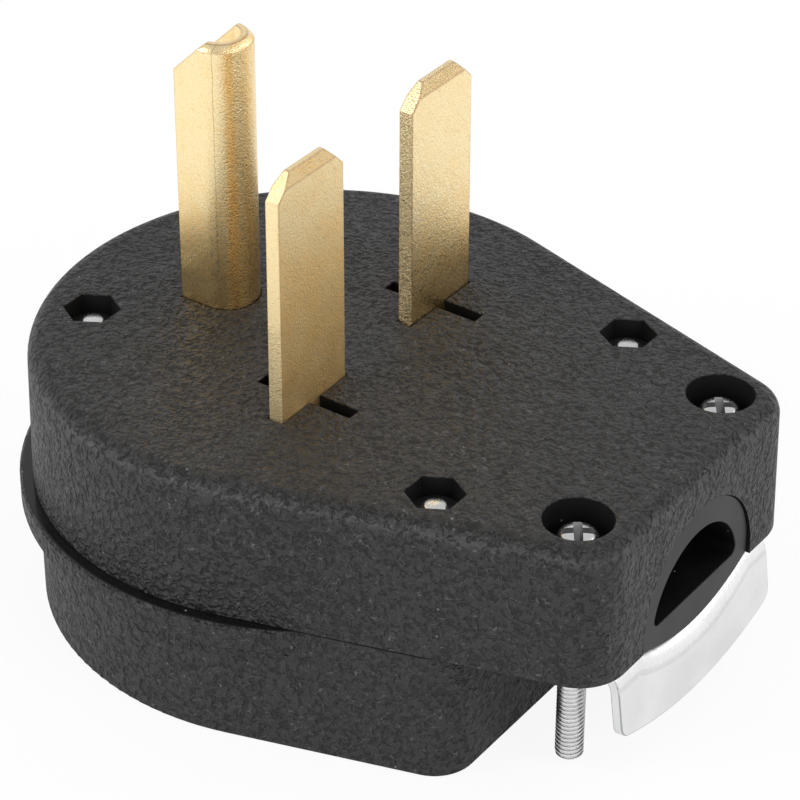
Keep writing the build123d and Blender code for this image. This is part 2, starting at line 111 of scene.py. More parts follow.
class Wiring:
    """Adds nodes to one node tree and feeds them with values or other sockets."""

    # Where a Mix node keeps its two colours and its mixed colour.
    COLOUR_INPUTS = (6, 7)
    COLOUR_OUTPUT = 2

    def __init__(self, tree: bpy.types.NodeTree) -> None:
        """Keeps the tree that the nodes go to."""
        self.tree = tree

    def feed(self, socket: Socket, value: object) -> None:
        """Links a socket or writes a plain value to an input.

        Args:
            socket: The input to feed.
            value: Another socket, or a number, vector or colour.
        """
        if isinstance(value, Socket):
            self.tree.links.new(value, socket)
        else:
            socket.default_value = value

    def add(self, kind: str, inputs: dict | None = None, **settings: object) -> bpy.types.Node:
        """Adds a node.

        Args:
            kind: Blender's name for the node type.
            inputs: Values or sockets by input name or number.
            settings: Properties of the node itself.

        Returns:
            The new node.
        """
        node = self.tree.nodes.new(kind)
        for key, value in settings.items():
            setattr(node, key, value)
        for key, value in (inputs or {}).items():
            self.feed(node.inputs[key], value)
        return node

    def math(self, operation: str, *values: object, clamp: bool = False) -> Socket:
        """Adds a Math node.

        Args:
            operation: The operation's name.
            values: Its operands, numbers or sockets.
            clamp: Whether the result is held between 0 and 1.

        Returns:
            The result socket.
        """
        node = self.add("ShaderNodeMath", operation=operation, use_clamp=clamp)
        for socket, value in zip(node.inputs, values):
            self.feed(socket, value)
        return node.outputs[0]

    def times(self, *values: object) -> Socket:
        """Multiplies two or more numbers or sockets."""
        result = values[0]
        for value in values[1:]:
            result = self.math("MULTIPLY", result, value)
        return result

    def plus(self, *values: object) -> Socket:
        """Adds two or more numbers or sockets."""
        result = values[0]
        for value in values[1:]:
            result = self.math("ADD", result, value)
        return result

    def minus(self, first: object, second: object) -> Socket:
        """Subtracts the second number or socket from the first."""
        return self.math("SUBTRACT", first, second)

    def away(self, value: object, middle: object) -> Socket:
        """Gives the distance of a value from a middle."""
        return self.math("ABSOLUTE", self.minus(value, middle))

    def remap(self, value: object, low: float, high: float, start: float = 0.0, end: float = 1.0) -> Socket:
        """Maps a value smoothly from one range to another.

        Args:
            value: The number or socket to map.
            low: Where the source range starts.
            high: Where the source range ends.
            start: The result at low.
            end: The result at high.

        Returns:
            The mapped value.
        """
        inputs = {"Value": value, "From Min": low, "From Max": high, "To Min": start, "To Max": end}
        return self.add("ShaderNodeMapRange", inputs, interpolation_type="SMOOTHSTEP").outputs[0]

    def blend(self, factor: object, first: object, second: object) -> Socket:
        """Mixes two colours.

        Args:
            factor: Share of the second colour.
            first: A colour or socket.
            second: A colour or socket.

        Returns:
            The mixed colour.
        """
        node = self.add("ShaderNodeMix", {0: factor}, data_type="RGBA")
        for index, value in zip(self.COLOUR_INPUTS, (first, second)):
            self.feed(node.inputs[index], value if isinstance(value, Socket) else (*value, 1.0))
        return node.outputs[self.COLOUR_OUTPUT]

    def noise(self, vector: object, scale: object, detail: float, rough: float, warp: object = 0.0) -> Socket:
        """Adds a noise field.

        Args:
            vector: Where it is read.
            scale: Waves per unit.
            detail: Octaves.
            rough: Strength of each finer octave.
            warp: Distortion.

        Returns:
            The field's value.
        """
        inputs = {"Vector": vector, "Scale": scale, "Detail": detail, "Roughness": rough, "Distortion": warp}
        return self.add("ShaderNodeTexNoise", inputs).outputs[0]

    def turned(self, vector: object, angles: Sequence[float]) -> Socket:
        """Turns a coordinate about its axes."""
        inputs = {"Vector": vector, "Rotation": tuple(angles)}
        return self.add("ShaderNodeMapping", inputs, vector_type="POINT").outputs[0]

    def attribute(self, name: str) -> Socket:
        """Reads a number that the mesh carries."""
        return self.add("ShaderNodeAttribute", attribute_name=name).outputs["Fac"]

    def split(self, vector: object) -> Sequence[Socket]:
        """Gives the three parts of a vector."""
        return self.add("ShaderNodeSeparateXYZ", {0: vector}).outputs

    def joined(self, x: object, y: object, z: object) -> Socket:
        """Makes a vector from its three parts."""
        return self.add("ShaderNodeCombineXYZ", {0: x, 1: y, 2: z}).outputs[0]


def new_group(name: str, kind: str, inputs: dict, outputs: dict[str, str]) -> bpy.types.NodeTree:
    """Makes an empty node group with named sockets.

    Args:
        name: The group's name.
        kind: Blender's name for the tree type.
        inputs: Socket type and default value by input name, None for no default.
        outputs: Socket type by output name.

    Returns:
        The group, with its input and output nodes in place.
    """
    tree = bpy.data.node_groups.new(name, kind)
    for label, (socket_type, value) in inputs.items():
        socket = tree.interface.new_socket(label, in_out="INPUT", socket_type=socket_type)
        if value is not None:
            socket.default_value = value
    for label, socket_type in outputs.items():
        tree.interface.new_socket(label, in_out="OUTPUT", socket_type=socket_type)
    tree.nodes.new("NodeGroupInput")
    tree.nodes.new("NodeGroupOutput")
    return tree


@dataclass(frozen=True)
class Field:
    """A noise field: its waves, octaves, strength of each finer octave and warp."""

    waves: float
    octaves: float
    finer: float
    warp: float = 0.0

    def add(self, w: Wiring, place: object, scale: object = None, warp: object = None) -> Socket:
        """Adds the field to a tree.

        Args:
            w: The tree's wiring.
            place: Where the field is read.
            scale: What the field's waves are multiplied by, None for nothing.
            warp: A warp in place of the field's own.

        Returns:
            The field's value.
        """
        distortion = self.warp if warp is None else warp
        waves = self.waves if scale is None else w.times(scale, self.waves)
        return w.noise(place, waves, self.octaves, self.finer, distortion)


class ShaderGroups:
    """Effects that several finishes share, each built once as a node group."""

    SWELL = Field(1.0, 1.0, 0.45)
    FOLD = Field(0.7, 1.0, 0.4)
    FINE = Field(2.6, 1.0, 0.5, 0.3)
    RIDGE = Field(0.95, 0.0, 0.5, 0.4)
    BREAK = Field(0.8, 0.0, 0.5)
    CLOUD = Field(1.0, 3.0, 0.55, 0.4)
    MOTTLE = Field(1.0, 2.0, 0.6, 0.2)
    FLECK = Field(0.7, 3.0, 0.7, 0.6)
    LINES = Field(1.0, 2.0, 0.6, 0.1)
    RIDGE_MIDDLE = 0.52
    SWELL_BAND = (0.28, 0.72)
    LOW_BAND = (0.60, 0.42)
    HOLLOW_BAND = (0.42, 0.28)
    CREASE_BAND = (0.09, 0.0)
    RIDGE_BAND = (0.04, 0.01)
    BREAK_BAND = (0.53, 0.60)
    SPECK_BAND = (0.09, 0.04)
    CLOUD_BAND = (0.32, 0.68)
    MOTTLE_BAND = (0.3, 0.7)
    FLECK_BAND = (0.58, 0.74)
    SWELL_HEIGHT = 0.62
    FINE_HEIGHT = 0.1
    CREASE_DEPTH = 0.3
    RIDGE_HEIGHT = 0.25

    def __init__(self) -> None:
        """Builds the groups."""
        self.grain = self.moulded_grain()
        self.mottle = self.metal_mottle()
        self.lines = self.drawn_lines()
        self.dust = self.stray_dust()

    @staticmethod
    def ends(tree: bpy.types.NodeTree) -> tuple[Wiring, bpy.types.NodeOutputs, bpy.types.NodeInputs]:
        """Gives the wiring, the inner inputs and the results of a group."""
        return Wiring(tree), tree.nodes["Group Input"].outputs, tree.nodes["Group Output"].inputs

    def moulded_grain(self) -> bpy.types.NodeTree:
        """Builds the leathery wrinkles of a grained mould.

        Returns:
            The group, with the wrinkles' height, their creases, where shade is painted, and the short ridges,
            where a highlight is painted.
        """
        inputs = {"Vector": (VECTOR, None), "Waves": (FLOAT, 1000.0), "Warp": (FLOAT, 0.8)}
        outputs = {"Height": FLOAT, "Crease": FLOAT, "Ridge Highlight": FLOAT}
        tree = new_group("moulded_grain", "ShaderNodeTree", inputs, outputs)
        w, given, result = self.ends(tree)
        place, waves, warp = given["Vector"], given["Waves"], given["Warp"]
        swell = self.SWELL.add(w, place, waves, warp)
        fold = w.away(self.FOLD.add(w, place, waves, warp), NOISE_MIDDLE)
        crease = w.times(w.remap(fold, *self.CREASE_BAND), w.remap(swell, *self.LOW_BAND))
        fine = w.times(self.FINE.add(w, place, waves), self.FINE_HEIGHT)
        raised = w.plus(w.times(w.remap(swell, *self.SWELL_BAND), self.SWELL_HEIGHT), fine)
        edge = w.away(self.RIDGE.add(w, place, waves), self.RIDGE_MIDDLE)
        broken = w.remap(self.BREAK.add(w, place, waves), *self.BREAK_BAND)
        ridge = w.times(w.remap(edge, *self.RIDGE_BAND), broken)
        shaped = w.minus(raised, w.times(crease, self.CREASE_DEPTH))
        w.feed(result["Height"], w.plus(shaped, w.times(ridge, self.RIDGE_HEIGHT)))
        w.feed(result["Crease"], w.math("MAXIMUM", crease, w.remap(swell, *self.HOLLOW_BAND)))
        w.feed(result["Ridge Highlight"], ridge)
        return tree

    def stray_dust(self) -> bpy.types.NodeTree:
        """Builds small bright specks of dust, in a few cells of a fine lattice.

        Returns:
            The group, with a mask of the specks.
        """
        inputs = {"Vector": (VECTOR, None), "Waves": (FLOAT, 500.0), "Share": (FLOAT, 0.2)}
        tree = new_group("stray_dust", "ShaderNodeTree", inputs, {"Speck": FLOAT})
        w, given, result = self.ends(tree)
        cells = w.add("ShaderNodeTexVoronoi", {"Vector": given["Vector"], "Scale": given["Waves"]}).outputs
        chosen = w.math("LESS_THAN", w.split(cells["Color"])[0], given["Share"])
        w.feed(result["Speck"], w.times(w.remap(cells["Distance"], *self.SPECK_BAND), chosen))
        return tree

    def metal_mottle(self) -> bpy.types.NodeTree:
        """Builds slow clouds, fine mottle and flecks, for metal and smooth plastic.

        Returns:
            The group, with the clouds, the mottle and a mask of the flecks.
        """
        inputs = {"Vector": (VECTOR, None), "Cloud Waves": (FLOAT, 180.0), "Mottle Waves": (FLOAT, 1500.0)}
        outputs = {"Cloud": FLOAT, "Mottle": FLOAT, "Pit": FLOAT}
        tree = new_group("metal_mottle", "ShaderNodeTree", inputs, outputs)
        w, given, result = self.ends(tree)
        place, waves = given["Vector"], given["Mottle Waves"]
        w.feed(result["Cloud"], w.remap(self.CLOUD.add(w, place, given["Cloud Waves"]), *self.CLOUD_BAND))
        w.feed(result["Mottle"], w.remap(self.MOTTLE.add(w, place, waves), *self.MOTTLE_BAND))
        w.feed(result["Pit"], w.remap(self.FLECK.add(w, place, waves), *self.FLECK_BAND))
        return tree

    def drawn_lines(self) -> bpy.types.NodeTree:
        """Builds fine lines along one axis, as drawing, brushing or shearing leaves them.

        Returns:
            The group, with the lines' height.
        """
        inputs = {"Vector": (VECTOR, None), "Stretch": (VECTOR, (1.0, 1.0, 0.05)), "Waves": (FLOAT, 3000.0)}
        tree = new_group("drawn_lines", "ShaderNodeTree", inputs, {"Height": FLOAT})
        w, given, result = self.ends(tree)
        stretched = {0: given["Vector"], 1: given["Stretch"]}
        place = w.add("ShaderNodeVectorMath", stretched, operation="MULTIPLY").outputs[0]
        w.feed(result["Height"], w.remap(self.LINES.add(w, place, given["Waves"]), *self.MOTTLE_BAND))
        return tree


@dataclass(frozen=True)
class Finish:
    """What every finish has: a name and the shared shader groups."""

    name: str
    groups: ShaderGroups

    def material(self) -> bpy.types.Material:
        """Builds the material.

        Returns:
            The finished material.
        """
        material = bpy.data.materials.new(self.name)
        material.use_nodes = True
        wiring = Wiring(material.node_tree)
        place = wiring.add("ShaderNodeTexCoord").outputs["Object"]
        self.paint(wiring, material.node_tree.nodes["Principled BSDF"].inputs, place)
        return material

    def paint(self, w: Wiring, shader: bpy.types.NodeInputs, place: Socket) -> None:
        """Feeds the shader; each finish has its own way.

        Args:
            w: The material's wiring.
            shader: The shader's inputs.
            place: The Object coordinates.
        """
        raise NotImplementedError

    def group(self, wiring: Wiring, tree: bpy.types.NodeTree, **inputs: object) -> bpy.types.NodeOutputs:
        """Places a shared group.

        Args:
            wiring: The material's wiring.
            tree: The group.
            inputs: Values or sockets by input name, with _ for a space.

        Returns:
            The group's outputs.
        """
        node = wiring.add("ShaderNodeGroup", node_tree=tree)
        for key, value in inputs.items():
            wiring.feed(node.inputs[key.replace("_", " ")], value)
        return node.outputs

    def mottle(self, wiring: Wiring, place: Socket, slow: float, fine: float) -> bpy.types.NodeOutputs:
        """Places the group of clouds and mottle, with the waves of each."""
        return self.group(wiring, self.groups.mottle, Vector=place, Cloud_Waves=slow, Mottle_Waves=fine)

    def lines(self, wiring: Wiring, place: object, stretch: Stretch, waves: float) -> Socket:
        """Places the group of drawn lines and gives their height."""
        return self.group(wiring, self.groups.lines, Vector=place, Stretch=stretch, Waves=waves)["Height"]

    def bump(self, wiring: Wiring, height: object, distance: float) -> Socket:
        """Turns a height of 0 to 1 into a surface normal.

        Args:
            wiring: The material's wiring.
            height: The height socket.
            distance: How high 1 stands, in metres.

        Returns:
            The normal.
        """
        return wiring.add("ShaderNodeBump", {"Height": height, "Distance": distance}).outputs[0]


@dataclass(frozen=True)
class MouldedPlastic(Finish):
    """Black plastic from a grained mould, with darker creases painted as shade, highlights painted on short
    ridges and along the rounded upper edges, and a few specks of dust.
    """

    colour: Colour = (0.0165, 0.0165, 0.0169)
    worn: Colour = (0.0215, 0.0215, 0.022)
    # The crease colour paints shade in the grain's creases.
    crease: Colour = (0.002, 0.002, 0.002)
    # The ridge colour paints a highlight on the grain's short ridges.
    ridge: Colour = (0.105, 0.105, 0.107)
    # This colour paints a highlight along the rounded upper edges.
    edge_highlight: Colour = (0.055, 0.055, 0.055)
    dust: Colour = (0.2, 0.2, 0.2)
    roughness: float = 0.46
    specular: float = 0.4
    waves: float = 1100.0
    warp: float = 0.7
    depth: float = 0.68 * MM
    cloud: Field = Field(90.0, 2.0, 0.5)
    worn_band: Band = (0.3, 0.75)
    highlight_band: Band = (0.2, 0.6)
    least_highlight: float = 0.5
    crease_share: float = 0.75
    ridge_highlight_share: float = 0.7
    dust_waves: float = 420.0
    dust_share: float = 0.05
    cloud_roughness: float = 0.16
    crease_roughness: float = 0.15

    def paint(self, w: Wiring, shader: bpy.types.NodeInputs, place: Socket) -> None:
        """Feeds the shader with this finish."""
        grain = self.group(w, self.groups.grain, Vector=place, Waves=self.waves, Warp=self.warp)
        cloud = self.cloud.add(w, place)
        edge = w.attribute(EDGE_ATTRIBUTE)
        toned = w.blend(w.remap(cloud, *self.worn_band), self.colour, self.worn)
        # Painted highlight along the rounded upper edges, patchy with the clouds.
        share = w.times(edge, w.remap(cloud, *self.highlight_band, self.least_highlight, 1.0))
        edge_highlight = w.blend(share, toned, self.edge_highlight)
        # Painted shade in the grain's creases.
        crease_shaded = w.blend(w.times(grain["Crease"], self.crease_share), edge_highlight, self.crease)
        # Painted highlight on the short ridges.
        ridge_highlighted = w.blend(w.times(grain["Ridge Highlight"], self.ridge_highlight_share), crease_shaded, self.ridge)
        speck = self.group(w, self.groups.dust, Vector=place, Waves=self.dust_waves, Share=self.dust_share)
        w.feed(shader["Base Color"], w.blend(speck["Speck"], ridge_highlighted, self.dust))
        clouded = w.plus(self.roughness, w.times(w.minus(cloud, NOISE_MIDDLE), self.cloud_roughness))
        w.feed(shader["Roughness"], w.plus(clouded, w.times(grain["Crease"], self.crease_roughness)))
        shader["Specular IOR Level"].default_value = self.specular
        w.feed(shader["Normal"], self.bump(w, grain["Height"], self.depth))


@dataclass(frozen=True)
class SmoothPlastic(Finish):
    """Smooth plastic with moulding dust: the collar, and in darker copies that paint shade, the ledge's top
    and the inside of the recesses.
    """

    colour: Colour
    roughness: float = 0.42
    specular: float = 0.4
    dust: Colour = (0.35, 0.35, 0.35)
    cloud_waves: float = 120.0
    mottle_waves: float = 900.0
    dust_waves: float = 600.0
    dust_share: float = 0.25
    paler: float = 1.3
    cloud_roughness: float = 0.08
    relief: float = 0.004 * MM

    def paint(self, w: Wiring, shader: bpy.types.NodeInputs, place: Socket) -> None:
        """Feeds the shader with this finish."""
        mottle = self.mottle(w, place, self.cloud_waves, self.mottle_waves)
        speck = self.group(w, self.groups.dust, Vector=place, Waves=self.dust_waves, Share=self.dust_share)
        toned = w.blend(mottle["Cloud"], self.colour, tuple(self.paler * part for part in self.colour))
        w.feed(shader["Base Color"], w.blend(speck["Speck"], toned, self.dust))
        w.feed(shader["Roughness"], w.plus(self.roughness, w.times(mottle["Cloud"], self.cloud_roughness)))
        shader["Specular IOR Level"].default_value = self.specular
        w.feed(shader["Normal"], self.bump(w, mottle["Mottle"], self.relief))


@dataclass(frozen=True)
class BareBrass(Finish):
    """Unlacquered brass: finely speckled, deeper and darker in tone towards its foot as a painted reflection
    of the black housing, with hatched sheared sides.
    """

    # In the depth table the low mark is the painted reflection of the black housing lower down.
    DEPTH_SHARES = {"low": 0.85, "cut": 0.2, "side": -0.4, "beaded": 0.3, "streak": 0.8}
    # In both tables the streak mark is partly painted shade on the pin's rounded nose.
    STAIN_SHARES = {"cut": 0.1, "streak": 0.12, "beaded": 0.3}

    pale: Colour = (1.0, 0.82, 0.48)
    deep: Colour = (1.0, 0.68, 0.28)
    tarnish: Colour = (0.42, 0.25, 0.10)
    copper: Colour = (0.55, 0.33, 0.20)
    roughness: float = 0.24
    mottle_roughness: float = 0.12
    # From deep_level up to the pale level the tone is painted deeper, and over the foot darker, as the
    # reflection of the black housing.
    deep_level: float = FACE_LEVEL + 4.0 * MM
    pale_level: float = FACE_LEVEL + 22.0 * MM
    foot_height: float = 10.0 * MM
    foot_reflection: float = 0.25
    cloud_waves: float = 260.0
    mottle_waves: float = 4600.0
    cloud_depth: float = 0.35
    mottle_depth: float = 0.8
    speckle: float = 0.18
    marked_speckle: float = 0.35
    pale_side: float = 0.7
    hatch_level: float = FACE_LEVEL + 60.0 * MM
    hatch_fade: float = 5.0 * MM
    hatch_turn: float = math.radians(35)
    hatch_stretch: Stretch = (0.7, 1.0, 1.0)
    hatch_waves: float = 4200.0
    hatch_band: Band = (0.3, 0.7)
    hatch_relief: float = 4.0
    scratch_turn: float = math.radians(50)
    scratch_stretch: Stretch = (1.0, 0.12, 1.0)
    scratch_waves: float = 3600.0
    scratch_band: Band = (0.85, 1.0)
    scratch_stain: float = 0.2
    rim_share: float = 0.45
    crease_stain: float = 0.5
    beaded_relief: float = 3.0
    relief: float = 0.026 * MM

    def streaks(self, w: Wiring, place: Socket) -> tuple[object, object, object]:
        """Gives the masks of a crease, of darker streaks and of the grain: 0, 0 and 1 on a flat strip."""
        return 0.0, 0.0, 1.0

    @staticmethod
    def weighed(w: Wiring, marks: dict[str, object], shares: dict[str, float]) -> Socket:
        """Adds up marks, each at its share."""
        return w.plus(*(w.times(marks[name], share) for name, share in shares.items()))

    def paint(self, w: Wiring, shader: bpy.types.NodeInputs, place: Socket) -> None:
        """Feeds the shader with this finish."""
        mottle = self.mottle(w, place, self.cloud_waves, self.mottle_waves)
        hatched = w.turned(place, (0.0, self.hatch_turn, 0.0))
        hatch = self.lines(w, hatched, self.hatch_stretch, self.hatch_waves)
        scratched = w.turned(place, (self.scratch_turn, 0.0, 0.0))
        scratch = self.lines(w, scratched, self.scratch_stretch, self.scratch_waves)
        level = w.split(place)[2]
        rim, side, beaded = (w.attribute(name) for name in (RIM_ATTRIBUTE, SIDE_ATTRIBUTE, TIP_ATTRIBUTE))
        shown = w.remap(level, self.hatch_level, self.hatch_level - self.hatch_fade)
        cut = w.times(side, shown, w.remap(hatch, *self.hatch_band))
        crease, streak, grained = self.streaks(w, place)
        # Painted reflection of the black housing: the tone grows deeper lower down, mostly on the broad
        # faces, and the tarnish colour is mixed in over the foot.
        open_face = w.minus(1.0, w.times(side, self.pale_side))
        low = w.times(w.remap(level, self.pale_level, self.deep_level), open_face)
        foot = w.remap(level, FACE_LEVEL + self.foot_height, FACE_LEVEL)
        marks = {"low": low, "cut": cut, "side": side, "beaded": beaded, "streak": streak}
        fine = w.times(w.minus(mottle["Mottle"], NOISE_MIDDLE), self.mottle_depth)
        clouded = w.times(w.minus(mottle["Cloud"], NOISE_MIDDLE), self.cloud_depth)
        added = self.weighed(w, marks, self.DEPTH_SHARES)
        depth = w.math("ADD", w.plus(fine, clouded), added, clamp=True)
        speckle = w.plus(self.speckle, w.times(w.plus(beaded, low, side), self.marked_speckle))
        spots = w.times(mottle["Pit"], speckle)
        scores = w.times(w.remap(scratch, *self.scratch_band), self.scratch_stain)
        # The foot's painted reflection, patchy with the clouds, joins the real scratches and tarnish marks.
        worn = w.plus(w.times(foot, mottle["Cloud"], self.foot_reflection), scores)
        tarnish_and_reflection = w.plus(worn, self.weighed(w, marks, self.STAIN_SHARES))
        toned = w.blend(depth, self.pale, self.deep)
        stained = w.blend(w.math("ADD", tarnish_and_reflection, spots, clamp=True), toned, self.tarnish)
        edged = w.blend(w.times(rim, self.rim_share), stained, self.copper)
        w.feed(shader["Base Color"], w.blend(w.times(crease, self.crease_stain), edged, self.tarnish))
        w.feed(shader["Roughness"], w.plus(self.roughness, w.times(mottle["Mottle"], self.mottle_roughness)))
        shader["Metallic"].default_value = 1.0
        grainy = w.times(mottle["Mottle"], w.plus(grained, w.times(beaded, self.beaded_relief)))
        height = w.plus(grainy, w.times(cut, self.hatch_relief))
        w.feed(shader["Normal"], self.bump(w, height, self.relief))


@dataclass(frozen=True)
class FoldedBrass(BareBrass):
    """Brass strip folded to a round nose, with a fine crease, streaks along the fold and a darker band
    painted as shade beside the crease and over the nose.
    """

    wobble: Field = Field(900.0, 2.0, 0.6)
    wobble_width: float = 0.3 * MM
    crease_x: float = -20.9 * MM
    crease_band: Band = (0.09 * MM, 0.02 * MM)
    crease_side: Band = (-2.0 * MM, -2.6 * MM)
    crease_fade: float = 8.0 * MM
    # These place the darker band painted as shade beside the crease and over the rounded nose.
    streak_x: float = -19.3 * MM
    streak_band: Band = (0.6 * MM, 0.1 * MM)
    nose_x: float = -18.7 * MM
    nose_fade: float = 0.2 * MM
    nose_shade_share: float = 0.35
    drawn_stretch: Stretch = (1.0, 1.0, 0.06)
    drawn_waves: float = 2400.0
    drawn_band: Band = (0.2, 0.8)
    least_drawn: float = 0.5
    drawn_share: float = 0.1
    leg_grain: float = 0.3

    def streaks(self, w: Wiring, place: Socket) -> tuple[object, object, object]:
        """Gives the marks of the fold.

        Args:
            w: The material's wiring.
            place: The Object coordinates.

        Returns:
            The masks of the crease on the -Y side, of the streaks, which are drawn lines over a band of
            painted shade on the nose, and of the grain on the nose.
        """
        x, y, level = w.split(place)
        wobble = w.times(w.minus(self.wobble.add(w, place), NOISE_MIDDLE), self.wobble_width)
        moved = w.plus(x, wobble)
        kept = w.remap(level, FACE_LEVEL, FACE_LEVEL + self.crease_fade)
        line = w.remap(w.away(moved, self.crease_x), *self.crease_band)
        crease = w.times(line, w.remap(y, *self.crease_side), kept)
        # Painted shade: a band beside the crease and over the rounded nose, broken by the drawn lines.
        beside = w.remap(w.away(moved, self.streak_x), *self.streak_band)
        nose = w.remap(moved, self.nose_x - self.nose_fade, self.nose_x + self.nose_fade)
        drawn = self.lines(w, place, self.drawn_stretch, self.drawn_waves)
        nose_shade_band = w.math("MAXIMUM", beside, w.times(nose, self.nose_shade_share))
        banded = w.times(nose_shade_band, w.remap(drawn, *self.drawn_band, self.least_drawn, 1.0))
        grained = w.remap(moved, self.crease_x, self.streak_x, self.leg_grain, 1.0)
        return crease, w.plus(banded, w.times(drawn, self.drawn_share)), grained


@dataclass(frozen=True)
class ZincPlate(Finish):
    """Bright zinc plating: soft clouds, fine drawn lines, a strained bend and darker rims."""

    colour: Colour = (0.86, 0.86, 0.87)
    dull: Colour = (0.74, 0.74, 0.75)
    edge: Colour = (0.3, 0.3, 0.3)
    roughness: float = 0.3
    mottle_roughness: float = 0.12
    cloud_waves: float = 160.0
    mottle_waves: float = 2600.0
    stretch: Stretch = (1.0, 0.2, 1.0)
    drawn_waves: float = 2400.0
    strain_stretch: Stretch = (0.25, 1.0, 0.25)
    strain_waves: float = 3600.0
    cloud_share: float = 0.5
    pit_share: float = 0.3
    strain_share: float = 0.4
    rim_share: float = 0.8
    drawn_relief: float = 0.6
    mottle_relief: float = 0.4
    strain_relief: float = 4.0
    relief: float = 0.006 * MM

    def paint(self, w: Wiring, shader: bpy.types.NodeInputs, place: Socket) -> None:
        """Feeds the shader with this finish."""
        mottle = self.mottle(w, place, self.cloud_waves, self.mottle_waves)
        drawn = self.lines(w, place, self.stretch, self.drawn_waves)
        strained = self.lines(w, place, self.strain_stretch, self.strain_waves)
        rim, bend = w.attribute(RIM_ATTRIBUTE), w.attribute(SIDE_ATTRIBUTE)
        strokes = w.times(bend, strained)
        toned = w.blend(w.times(mottle["Cloud"], self.cloud_share), self.colour, self.dull)
        spots = w.plus(w.times(mottle["Pit"], self.pit_share), w.times(strokes, self.strain_share))
        spotted = w.blend(spots, toned, self.dull)
        w.feed(shader["Base Color"], w.blend(w.times(rim, self.rim_share), spotted, self.edge))
        w.feed(shader["Roughness"], w.plus(self.roughness, w.times(mottle["Mottle"], self.mottle_roughness)))
        shader["Metallic"].default_value = 1.0
        plain = w.plus(w.times(drawn, self.drawn_relief), w.times(mottle["Mottle"], self.mottle_relief))
        height = w.plus(plain, w.times(strokes, self.strain_relief))
        w.feed(shader["Normal"], self.bump(w, height, self.relief))


@dataclass(frozen=True)
class DarkSteel(Finish):
    """Dark steel of the nuts, with a thin oily shine."""

    colour: Colour = (0.045, 0.044, 0.043)
    bare: Colour = (0.2, 0.2, 0.2)
    bare_share: float = 0.4
    roughness: float = 0.4
    cloud_roughness: float = 0.15
    metallic: float = 0.8
    cloud_waves: float = 300.0
    mottle_waves: float = 1800.0
    relief: float = 0.006 * MM

    def paint(self, w: Wiring, shader: bpy.types.NodeInputs, place: Socket) -> None:
        """Feeds the shader with this finish."""
        mottle = self.mottle(w, place, self.cloud_waves, self.mottle_waves)
        w.feed(shader["Base Color"], w.blend(w.times(mottle["Pit"], self.bare_share), self.colour, self.bare))
        w.feed(shader["Roughness"], w.plus(self.roughness, w.times(mottle["Cloud"], self.cloud_roughness)))
        shader["Metallic"].default_value = self.metallic
        w.feed(shader["Normal"], self.bump(w, mottle["Mottle"], self.relief))


@dataclass
class Finishes:
    """The materials of the plug: one for each finish, with darker copies that paint shade in the hollows,
    pockets, ledge and cross recesses, and a brass copy whose painted reflection of the housing reaches
    higher.
    """

    groups: ShaderGroups
    # The first two blacks paint shade: darker for the nut pockets, the ledge's top, the hollow and the bores;
    # the hollow black also draws the dark seam line.
    recess_shade_black: Colour = (0.005, 0.005, 0.005)
    hollow_black: Colour = (0.003, 0.003, 0.003)
    collar_black: Colour = (0.010, 0.010, 0.0102)
    screw_dull: Colour = (0.62, 0.62, 0.62)
    # The socket colours paint the shade in the screws' cross recesses.
    socket_shade_grey: Colour = (0.55, 0.55, 0.55)
    socket_shade_dull: Colour = (0.35, 0.35, 0.35)
    hatch_reach: float = 15.0 * MM
    # On the near blade the painted reflection of the housing reaches higher, between these two reaches.
    near_pale_reach: float = 34.0 * MM
    near_deep_reach: float = 12.0 * MM

    def __post_init__(self) -> None:
        """Builds the materials."""
        groups = self.groups
        recess = {"groups": groups, "colour": self.recess_shade_black}
        hollow = {"groups": groups, "colour": self.hollow_black}
        collar = {"groups": groups, "colour": self.collar_black}
        self.grained = MouldedPlastic("grained_black", groups).material()
        # The ledge's top, the pockets and the hollow get the darker blacks as painted shade.
        self.ledge = SmoothPlastic("ledge_black", roughness=0.14, **recess).material()
        self.pocket = SmoothPlastic("pocket_shade_black", roughness=0.5, specular=0.25, **recess).material()
        self.hollow = SmoothPlastic("hollow_black", roughness=0.5, specular=0.2, **hollow).material()
        self.collar = SmoothPlastic("collar_black", specular=0.34, **collar).material()
        self.brass = BareBrass("bare_brass", groups).material()
        # A brass copy for the near blade, whose painted reflection of the housing reaches higher.
        self.near_brass = BareBrass(
            "bare_brass_deep_reflection",
            groups,
            roughness=0.42,
            hatch_level=FACE_LEVEL + self.hatch_reach,
            pale_level=FACE_LEVEL + self.near_pale_reach,
            deep_level=FACE_LEVEL + self.near_deep_reach,
        ).material()
        self.folded_brass = FoldedBrass("bare_brass_folded", groups, speckle=0.06).material()
        self.zinc = ZincPlate("zinc_plate", groups).material()
        self.screw = ZincPlate(
            "screw_zinc",
            groups,
            dull=self.screw_dull,
            roughness=0.2,
            relief=0.002 * MM,
            stretch=(1.0, 1.0, 0.4),
        ).material()
        # Darker zinc that paints the shade inside the cross recesses.
        self.socket = ZincPlate("socket_zinc_shade", groups, self.socket_shade_grey, self.socket_shade_dull).material()
        self.nut = DarkSteel("nut_black", groups).material()


def link(name: str, mesh: bpy.types.Mesh) -> Piece:
    """Puts a mesh in the scene as an object at the origin."""
    piece = bpy.data.objects.new(name, mesh)
    bpy.context.scene.collection.objects.link(piece)
    return piece


def settle(piece: Piece, body: str, nodes: Sequence[str]) -> Piece:
    """Ties a finished piece to its body and the solids that it stands for.

    Args:
        piece: The finished piece, at the origin.
        body: The body that carries it.
        nodes: The solids that it replaces.

    Returns:
        The same piece.
    """
    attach(piece, body)
    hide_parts(*nodes)
    log.info("%s: %d faces on %s", piece.name, len(piece.data.polygons), body)
    return piece


